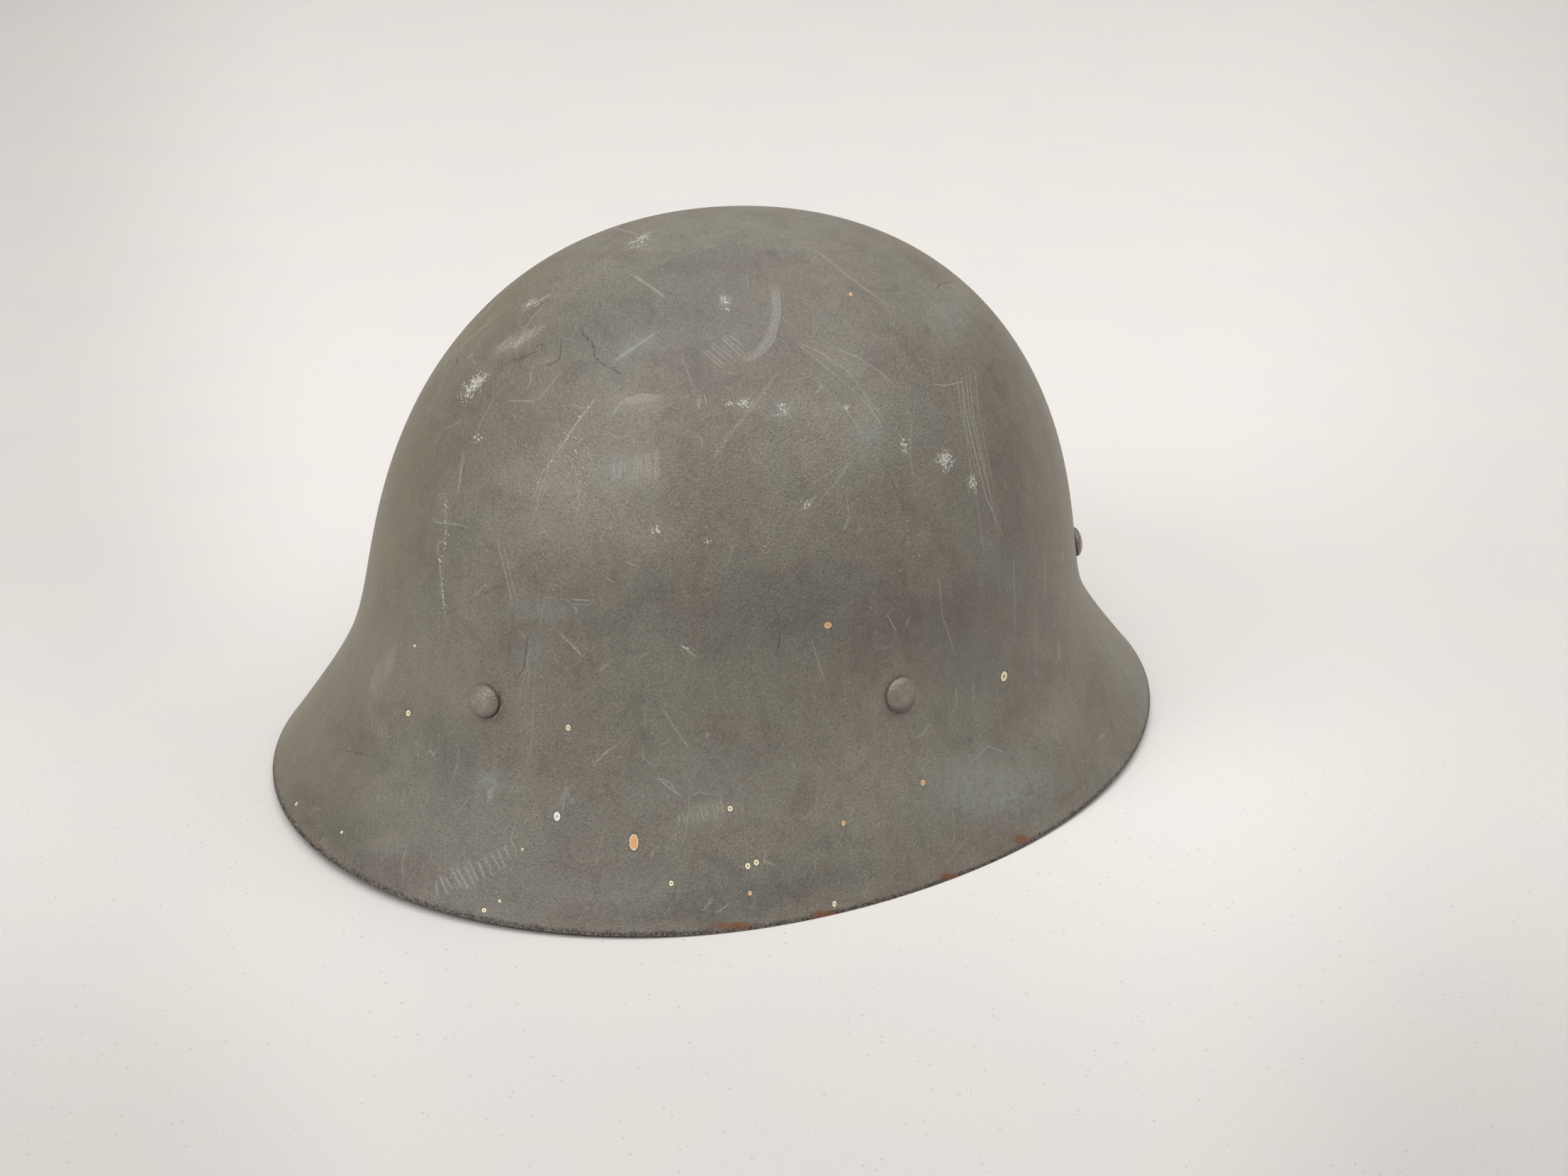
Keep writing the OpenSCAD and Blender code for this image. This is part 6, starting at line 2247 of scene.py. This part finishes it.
    def _eyelets(self) -> None:
        """Creates the rolled steel eyelets."""
        f = self.form
        points, faces, total = [], [], 0
        section = [(3.8, 0.0), (3.8, 1.0), (3.9, 1.42), (4.25, 1.66), (4.8, 1.7), (5.4, 1.56),
                   (5.72, 1.24), (5.66, 1.02), (5.3, 1.08), (4.5, 1.12), (4.22, 0.9), (4.2, 0.0)]
        section += [(r, -h) for r, h in section[-2:0:-1]]
        turns = np.linspace(0, 2 * math.pi, 48, endpoint=False)
        for i in range(6):
            a = math.radians(30 + 60 * i)
            origin = f.point(a, f.lace_v, f.lap_gap + f.leather_t / 2)
            axis = f.normal(a, f.lace_v)
            side = unit(np.cross(axis, [0.0, 0.0, 1.0]))
            over = np.cross(axis, side)
            rings = np.stack([origin + np.cos(turns)[:, None] * side * r
                              + np.sin(turns)[:, None] * over * r + axis * h for r, h in section])
            count = rings.shape[0] * rings.shape[1]
            closed = quads(len(section) + 1, len(turns), 0, closed=True)
            faces += [tuple(total + k % count for k in face) for face in closed]
            points.append(rings.reshape(-1, 3))
            total += count
        piece = turn_outwards(make_object("rolled_eyelets", np.concatenate(points), faces,
                                          self.finishes.bright))
        settle(piece, "helmet", "bright_steel", "lace_eyelets")

    def _lace(self) -> None:
        """Creates the twisted lace with its knot and two short ends."""
        f = self.form
        a = np.linspace(0, 2 * math.pi, 540, endpoint=False)
        parts = [tube(f.lace(a), f.lace_d / 2, 18, True, 3, 5.5)]
        middle = np.linspace(-0.14, 0.14, 90)
        core = f.lace(middle)
        ahead = unit(np.gradient(core, axis=0))
        side = unit(np.cross(ahead, [0.0, 0.0, 1.0]))
        over = np.cross(side, ahead)
        turn = np.linspace(0, 5 * math.pi, 90)[:, None]
        wrap = core + 1.55 * (np.cos(turn) * side + np.sin(turn) * over)
        parts.append(tube(wrap, 0.85, 14, False, 3, 5.0))
        for sign in (-1, 1):
            s = np.linspace(0, 1, 30)
            start = core[45]
            end = np.stack([sign * (1.2 + 3.5 * s + 1.5 * np.sin(2.6 * s)), 2.0 * s * (1 - s) * sign,
                            -1.2 - 11 * s**1.3 + 0 * s], -1)
            parts.append(tube(start + end, 0.85, 14, False, 3, 5.0))
        points, faces, total = [], [], 0
        for some, some_faces in parts:
            points.append(some)
            faces += [tuple(i + total for i in face) for face in some_faces]
            total += len(some)
        piece = turn_outwards(make_object("twisted_lace", np.concatenate(points), faces,
                                          self.finishes.cotton))
        settle(piece, "helmet", "lace_cotton", "crown_lace")

    def _pad(self, name: str, middle: float, half: float) -> None:
        """Creates one felt pad: a crowned cushion, swollen by a short cloth simulation.

        Args:
            name: its name.
            middle: its middle's angle.
            half: half its angle.
        """
        f = self.form
        rows, cols = 22, max(24, int(half * 100 * 2 / 2.6))
        u = np.linspace(-1, 1, cols)
        w = np.linspace(-1, 1, rows)
        grid_u, grid_w = np.meshgrid(u, w)
        swell = np.sqrt(1 - np.abs(grid_u) ** 3) * np.sqrt(1 - np.abs(grid_w) ** 3)
        thick = f.pad_edge_t + (f.pad_t - f.pad_edge_t) * swell
        pull = 1 - 0.035 * (1 - grid_w**2)
        a = middle + half * 0.99 * grid_u * pull
        v = mix(f.pad_high_v, f.pad_low_v, (grid_w * (1 - 0.05 * (1 - grid_u**2)) + 1) / 2)
        low = f.lap_gap * 2 + f.leather_t
        layers = [f.point(a, v, low + 0.25 + thick * share) for share in (0.0, 0.92)]
        points = np.concatenate([layer.reshape(-1, 3) for layer in layers])
        faces = quads(rows, cols) + [face[::-1] for face in quads(rows, cols, rows * cols)]
        rim = ([c for c in range(cols)] + [r * cols + cols - 1 for r in range(1, rows)]
               + [(rows - 1) * cols + c for c in range(cols - 2, -1, -1)]
               + [r * cols for r in range(rows - 2, 0, -1)])
        deep = rows * cols
        faces += [(rim[i], rim[(i + 1) % len(rim)], rim[(i + 1) % len(rim)] + deep, rim[i] + deep)
                  for i in range(len(rim))]
        piece = turn_outwards(make_object("felt_" + name, points, faces, self.finishes.felt))
        self._swell(piece)
        self._fit(piece, middle, half, low)
        settle(piece, "helmet", "pad_felt", name)
        seam_t = np.linspace(-1, 1, 120)
        for at_w in (-0.86, 0.86):
            turn = middle + half * 0.86 * seam_t
            share = np.full_like(turn, mix(f.pad_high_v, f.pad_low_v, (at_w + 1) / 2))
            self._seam(piece, turn, share)
        for at_u in (-0.9, 0.9):
            share = mix(f.pad_high_v, f.pad_low_v, (0.84 * seam_t + 1) / 2)
            self._seam(piece, np.full_like(share, middle + half * at_u), share)

    def _seam(self, piece: bpy.types.Object, turn: np.ndarray, share: np.ndarray) -> None:
        """Lays stitches on a pad's outer face, found by rays towards the liner.

        Args:
            piece: the pad.
            turn: angles of the seam.
            share: shares of the seam.
        """
        f = self.form
        tree = BVHTree.FromObject(piece, bpy.context.evaluated_depsgraph_get())
        path, up = [], []
        for a, v in zip(turn, share):
            n = f.normal(a, v)
            start = f.point(a, v, 30.0)
            hit, normal, *_ = tree.ray_cast(Vector(start * MM), Vector(-n))
            if hit is not None:
                path.append(np.array(hit) * 1000 + np.array(normal) * 0.05)
                up.append(np.array(normal))
        if len(path) > 8:
            self.stitching.row(np.array(path), np.array(up), gap=1.6)

    def _swell(self, piece: bpy.types.Object) -> None:
        """Blows the pad up as cloth under pressure and keeps the result.

        Args:
            piece: the pad.
        """
        remesh = piece.modifiers.new("remesh", "REMESH")
        remesh.mode, remesh.voxel_size = "VOXEL", 0.0024
        mesh = baked(piece)
        piece.modifiers.clear()
        piece.data = mesh
        before = points_of(mesh)
        cloth = piece.modifiers.new("cloth", "CLOTH")
        cloth.settings.use_pressure = True
        cloth.settings.uniform_pressure_force = 3.0
        cloth.settings.quality = 4
        cloth.settings.effector_weights.gravity = 0
        scene = bpy.context.scene
        for frame in range(1, 13):
            scene.frame_set(frame)
        move = points_of(baked(piece)) - before
        piece.modifiers.clear()
        scene.frame_set(1)
        long = np.linalg.norm(move, axis=1, keepdims=True)
        move = move * np.minimum(1, 0.0012 / np.maximum(long, 1e-9))
        mesh.vertices.foreach_set("co", (before + move).ravel())
        mesh.materials.clear()
        mesh.materials.append(self.finishes.felt)
        mesh.name = piece.name
        log.info("%s: cloth moved its points by %.2f mm at most", piece.name, long.max() * 1000)

    def _fit(self, piece: bpy.types.Object, middle: float, half: float, low: float) -> None:
        """Keeps the pad's points in the room between the leather and the shell, then rounds it.

        Args:
            piece: the pad.
            middle: its middle's angle.
            half: half its angle.
            low: share of its lower edge.
        """
        f = self.form
        mesh = piece.data
        p = points_of(mesh).astype(float) * 1000
        a = np.arctan2(p[:, 0], -(p[:, 1] - f.shell.crown_y))
        v = np.linspace(f.pad_low_v - 0.04, f.pad_high_v + 0.03, 160)
        line = f.point(a[:, None], v[None, :], 0.0)
        gap = np.linalg.norm(line - p[:, None], axis=2)
        best = v[gap.argmin(1)]
        off = gap.min(1)
        spread = np.clip((np.mod(a - middle + math.pi, 2 * math.pi) - math.pi) / half, -1, 1)
        rise = np.clip(2 * (best - f.pad_low_v) / (f.pad_high_v - f.pad_low_v) - 1, -1, 1)
        room = f.pad_edge_t + (f.pad_t - f.pad_edge_t) * np.sqrt(1 - np.abs(spread) ** 3) * np.sqrt(
            1 - np.abs(rise) ** 3)
        keep = np.clip(off, low + 0.12, low + room + 0.3)
        p = f.point(a, best, keep)
        mesh.vertices.foreach_set("co", (p * MM).astype(np.float32).ravel())
        mesh.update()
        smooth = piece.modifiers.new("smooth", "SUBSURF")
        smooth.levels = smooth.render_levels = 1
        done = baked(piece)
        piece.modifiers.clear()
        piece.data = done
        done.shade_smooth()


# Chin strap


@dataclass(frozen=True)
class StrapForm:
    """Sizes of the chin strap, in millimetres, and the line of its loop; angles in degrees."""

    ring_x: float = 103.092
    ring_r: float = 13.0
    ring_z: float = 36.04
    ring_wire_d: float = 2.6
    crown_y: float = -0.75
    fall: float = 11.4632
    depth: float = 123.221
    taper: float = 0.15
    width: float = 17.0
    thickness: float = 2.2
    loop_gap: float = 0.25
    layer_gap: float = 0.15
    ring_slack: float = 3.5823
    bar_d: float = 2.5
    buckle_l: float = 17.0
    buckle_angle: float = 40.0
    front_angle: float = 48.1283
    tail_angle: float = 16.8706
    fold_angle: float = 164.19
    thread_in: float = 8.0
    thread_out: float = 9.0
    roller_d: float = 4.06
    slot_half: float = 2.25
    hole_d: float = 3.6
    hole_step: float = 12.0
    hole_count: int = 4
    worn_l: float = 8.4
    rivet_first: float = 12.0
    rivet_step: float = 11.0
    keeper_l: float = 9.0
    keeper_t: float = 1.5

    def line(self, t: Numbers) -> np.ndarray:
        """Returns the loop's point at t, in the strap's own plane."""
        r = np.radians(t)
        return np.stack([self.ring_x * np.cos(r) * (1 - self.taper * np.sin(r) ** 2),
                         -self.ring_r - self.depth * np.sin(r)], -1)

    def ahead(self, t: Numbers) -> np.ndarray:
        """Returns the loop's direction at t."""
        t = np.asarray(t, float)
        return unit(self.line(t + 0.5) - self.line(t - 0.5))

    def side(self, t: Numbers) -> np.ndarray:
        """Returns the direction to the loop's left at t."""
        way = self.ahead(t)
        return np.stack([-way[..., 1], way[..., 0]], -1)

    def speed(self, t: float) -> float:
        """Returns millimetres along the loop per degree at t."""
        return float(np.linalg.norm(self.line(t + 0.5) - self.line(t - 0.5)))

    def long_offset(self, t: Numbers) -> np.ndarray:
        """Returns how far the long strap's middle lies from the loop's line at t.

        Args:
            t: place along the loop.

        Returns:
            The distance.
        """
        start, end = self.line(self.buckle_angle), self.line(self.front_angle)
        bar_ahead = start + self.buckle_l * self.ahead(self.buckle_angle)
        lift = float((bar_ahead - end) @ self.side(self.front_angle))
        clear = self.loop_gap + self.thickness / 2
        under = lift - self.roller_d / 2 - clear
        over = self.bar_d / 2 + self.loop_gap + self.thickness + clear
        flat = self.thickness + self.layer_gap + self.thickness / 2
        gone = mix(under, self.thickness / 2, ease((t - self.front_angle) / self.thread_in))
        mid = mix(over, under, ease((t - self.buckle_angle) / (self.front_angle - self.buckle_angle)))
        tail = mix(over, flat, ease((self.buckle_angle - t) / self.thread_out))
        return np.where(t >= self.front_angle, gone, np.where(t >= self.buckle_angle, mid, tail))

    def space(self, flat: np.ndarray, across: Numbers) -> np.ndarray:
        """Returns the point in space of a point of the strap's plane, across its width."""
        lean = math.radians(self.fall)
        y, z = flat[..., 1], np.broadcast_to(across, flat[..., 1].shape)
        return np.stack([flat[..., 0], self.crown_y + y * math.cos(lean) - z * math.sin(lean),
                         self.ring_z + y * math.sin(lean) + z * math.cos(lean)], -1)


class Ribbon:
    """A strap's middle line in its plane, measured along its length."""

    def __init__(self, path: np.ndarray) -> None:
        """Keeps the path.

        Args:
            path: points of the middle line.
        """
        keep = np.concatenate([[True], np.linalg.norm(np.diff(path, axis=0), axis=1) > 1e-4])
        self.path = path[keep]
        self.run = run_along(self.path)
        way = unit(np.gradient(self.path, axis=0))
        self.left = np.stack([-way[:, 1], way[:, 0]], -1)

    def at(self, s: np.ndarray, out: np.ndarray) -> np.ndarray:
        """Returns the point at length s, out to the left of the line."""
        base = np.stack([np.interp(s, self.run, self.path[:, k]) for k in (0, 1)], -1)
        left = unit(np.stack([np.interp(s, self.run, self.left[:, k]) for k in (0, 1)], -1))
        return base + left * np.asarray(out)[..., None]

    def length_to(self, point: np.ndarray, low: float = 0.0, high: float = math.inf) -> float:
        """Returns the length at the point of the line nearest to a point, between two lengths."""
        gap = np.linalg.norm(self.path - point, axis=1)
        gap[(self.run < low) | (self.run > high)] = np.inf
        return float(self.run[gap.argmin()])


class Straps:
    """The two strap halves and their keeper."""

    def __init__(self, form: StrapForm, finishes: Finishes) -> None:
        """Keeps the form and the finishes.

        Args:
            form: the straps' sizes.
            finishes: the shared finishes.
        """
        self.form = form
        self.finishes = finishes

    def _layer(self, angles: np.ndarray, offsets: np.ndarray) -> np.ndarray:
        """Returns points beside the loop's line."""
        return self.form.line(angles) + self.form.side(angles) * offsets[:, None]

    def _eye(self, t: float, sign: float, slack: float, radius: float) -> np.ndarray:
        """Returns the bend round a ring or bar, from the left layer to the right one.

        Args:
            t: place along the loop.
            sign: side that it turns to.
            slack: room for the ring.
            radius: of the bend.

        Returns:
            The points.
        """
        f = self.form
        centre = f.line(t) + f.ahead(t) * slack * sign
        turn = np.linspace(0, math.pi, 40)
        return (centre + f.side(t) * (np.cos(turn) * radius)[:, None]
                + f.ahead(t) * sign * (np.sin(turn) * radius)[:, None])

    def _place(self, ribbon: Ribbon, twist: float) -> Place:
        """Returns the bend of a flat strap onto its line, with a slight wave as large as twist."""
        f = self.form

        def place(x: np.ndarray, y: np.ndarray, h: np.ndarray) -> np.ndarray:
            """Returns the points of the bent strip."""
            wave = twist * np.sin(x / 17.0) * (y / f.width)
            return f.space(ribbon.at(x, h + wave), y)
        return place

    def make(self) -> None:
        """Creates the straps and the keeper."""
        self._short()
        self._long()
        self._keeper()

    def _short(self) -> None:
        """Creates the short half: one ribbon doubled round its ring and the buckle's bar."""
        f = self.form
        gap, eye, bar = f.thickness / 2 + 0.02, f.ring_wire_d / 2 + f.loop_gap + f.thickness / 2, (
            f.bar_d / 2 + f.loop_gap + f.thickness / 2)
        seam = (f.rivet_first + f.rivet_step / 2) / f.speed(0)
        ring_way, bar_way = 8.2 / f.speed(0), 7.0 / f.speed(f.buckle_angle)

        def offset(t: Numbers) -> Numbers:
            """Returns how far the short strap's middle lies from the loop's line at t."""
            near_bar = mix(bar, gap, ease((f.buckle_angle - t) / bar_way))
            return np.where(t < 20, mix(eye, gap, ease(t / ring_way)), near_bar)

        low = np.linspace(seam + 0.1, f.buckle_angle, 300)
        back = np.linspace(f.buckle_angle, 0, 320)
        home = np.linspace(0, seam - 0.1, 100)
        path = np.concatenate([
            self._layer(low, -offset(low)), self._eye(f.buckle_angle, 1, 0.0, bar)[::-1],
            self._layer(back, offset(back)), self._eye(0, -1, f.ring_slack, eye),
            self._layer(home, -offset(home))])
        ribbon = Ribbon(path)
        total = ribbon.run[-1]
        outline = np.array([[0, -f.width / 2], [total, -f.width / 2], [total, f.width / 2],
                            [0, f.width / 2]])
        way = f.ahead(f.buckle_angle)
        bend = ribbon.length_to(f.line(f.buckle_angle) + way * bar)
        slot = oval(bend, 0, bar * (1 + math.pi / 2) + 0.6, f.slot_half)[::-1]
        sheet = CutSheet(outline, [slot], f.thickness, 1.7)
        piece = sheet.make("leather_short_strap", self._place(ribbon, 0.0), self.finishes.strap)
        settle(piece, "chin_strap", "strap_leather", "short_strap")

    def _long(self) -> None:
        """Creates the long half: pointed end, holes, buckle thread and fold round its ring."""
        f = self.form
        gap, eye = f.thickness / 2 + 0.02, f.ring_wire_d / 2 + f.loop_gap + f.thickness / 2
        ring_way = 8.2 / f.speed(0)
        main = np.linspace(f.tail_angle, 180, 1300)
        wide = np.where(main > 150, mix(eye, gap, ease((180 - main) / ring_way)), f.long_offset(main))
        wide = np.where((main > 150) & (main < 180 - ring_way), f.thickness / 2 + 0.02, wide)
        fold = np.linspace(180, f.fold_angle, 260)
        path = np.concatenate([self._layer(main, wide), self._eye(180, 1, f.ring_slack, eye),
                               self._layer(fold, -mix(eye, gap, ease((180 - fold) / ring_way)))])
        ribbon = Ribbon(path)
        total, half = ribbon.run[-1], f.width / 2
        tip = np.linspace(0, 1, 14)
        point = np.stack([0.55 * f.width * tip,
                          mix(0.14 * f.width, half, np.sin(tip * math.pi / 2) ** 0.9)], -1)
        end = np.linspace(0, 1, 6)
        corner = np.stack([total - 2 + 2 * np.sin(end * math.pi / 2),
                           half - 2 + 2 * np.cos(end * math.pi / 2)], -1)
        upper = np.concatenate([point, corner])
        outline = np.concatenate([upper * [1, -1], upper[::-1]])
        limit = total * 0.6
        worn_x = (f.buckle_l + f.roller_d) * 0.3
        start, way = f.line(f.buckle_angle), f.ahead(f.buckle_angle)
        along = (ribbon.path - start) @ way
        low, high = (float(ribbon.run[np.argmax(along > worn_x + k * f.worn_l / 2)]) for k in (-1, 1))
        holes = [oval((low + high) / 2, 0, (high - low) / 2 + 0.45, f.hole_d / 2, 48)[::-1]]
        for k in range(1, f.hole_count + 1):
            t = f.buckle_angle + (worn_x + k * f.hole_step) / f.speed(f.buckle_angle)
            where = ribbon.length_to(f.line(t) + f.side(t) * float(f.long_offset(np.array(t))), 0, limit)
            holes.append(oval(where, 0, f.hole_d / 2, f.hole_d / 2, 36)[::-1])
        sheet = CutSheet(outline, holes, f.thickness, 1.7)
        piece = sheet.make("leather_long_strap", self._place(ribbon, 0.0), self.finishes.strap)
        settle(piece, "chin_strap", "strap_leather", "long_strap")

    def _keeper(self) -> None:
        """Creates the keeper: a band of leather round both straps."""
        f = self.form
        t = mix(f.tail_angle, f.buckle_angle, 0.42)
        fit = 2 * f.layer_gap
        low = -f.thickness - fit
        high = f.thickness * 2 + f.layer_gap + fit
        half, r = f.width / 2 + fit, 1.1
        ring = []
        for cx, cy, start in ((half - r, high - r, 0), (-half + r, high - r, 90),
                              (-half + r, low + r, 180), (half - r, low + r, 270)):
            for k in range(7):
                turn = math.radians(start + 90 * k / 6)
                ring.append(((cx, cy), (math.cos(turn), math.sin(turn))))
        filled = []
        for (c0, n0), (c1, n1) in zip(ring, ring[1:] + ring[:1]):
            p0, p1 = np.add(c0, np.multiply(n0, r)), np.add(c1, np.multiply(n1, r))
            steps = max(1, int(np.linalg.norm(p1 - p0) / 0.9))
            for k in range(steps):
                filled.append((mix(p0, p1, k / steps), unit(mix(np.array(n0), np.array(n1), k / steps))))
        base = np.array([p for p, _ in filled])
        out = np.array([n for _, n in filled])
        section = []
        for x, h in ((-0.5, 0.25), (-0.5, 0.75), (-0.46, 0.97), (-0.4, 1.0), (-0.2, 1.03), (0, 1.04),
                     (0.2, 1.03), (0.4, 1.0), (0.46, 0.97), (0.5, 0.75), (0.5, 0.25), (0.46, 0.03),
                     (0.4, 0.0), (0.2, 0.0), (0, 0.0), (-0.2, 0.0), (-0.4, 0.0), (-0.46, 0.03)):
            section.append((x * f.keeper_l, h * f.keeper_t))
        way, side = f.ahead(t), f.side(t)
        rings = []
        for x, h in section:
            at = base + out * h
            flat = f.line(t) + way * x + side * at[:, 1:2]
            rings.append(f.space(flat, at[:, 0]))
        edge = np.array([f.keeper_l / 2 - abs(x) for x, _ in section])
        piece = band("leather_keeper", np.stack(rings), self.finishes.strap, edge)
        settle(piece, "chin_strap", "strap_leather", "strap_keeper")


# Assembly


def main() -> None:
    """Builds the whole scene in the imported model's frame."""
    logging.basicConfig(level=logging.INFO, format="%(name)s: %(message)s")
    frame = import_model()
    camera = PhotoCamera()
    camera.make()
    Studio().make()
    shell = ShellForm()
    Shell(shell, camera).make()
    ShellRivets(shell, RivetForm()).make()
    finishes, stitching = Finishes(), Stitching()
    finishes.dress(frame["nodes"])
    Liner(LinerForm(shell), finishes, stitching).make()
    Straps(StrapForm(), finishes).make()
    seams = stitching.make("liner_stitches", finishes.thread)
    settle(seams, "helmet", "lace_cotton")
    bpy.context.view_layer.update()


if __name__ == "__main__":
    main()
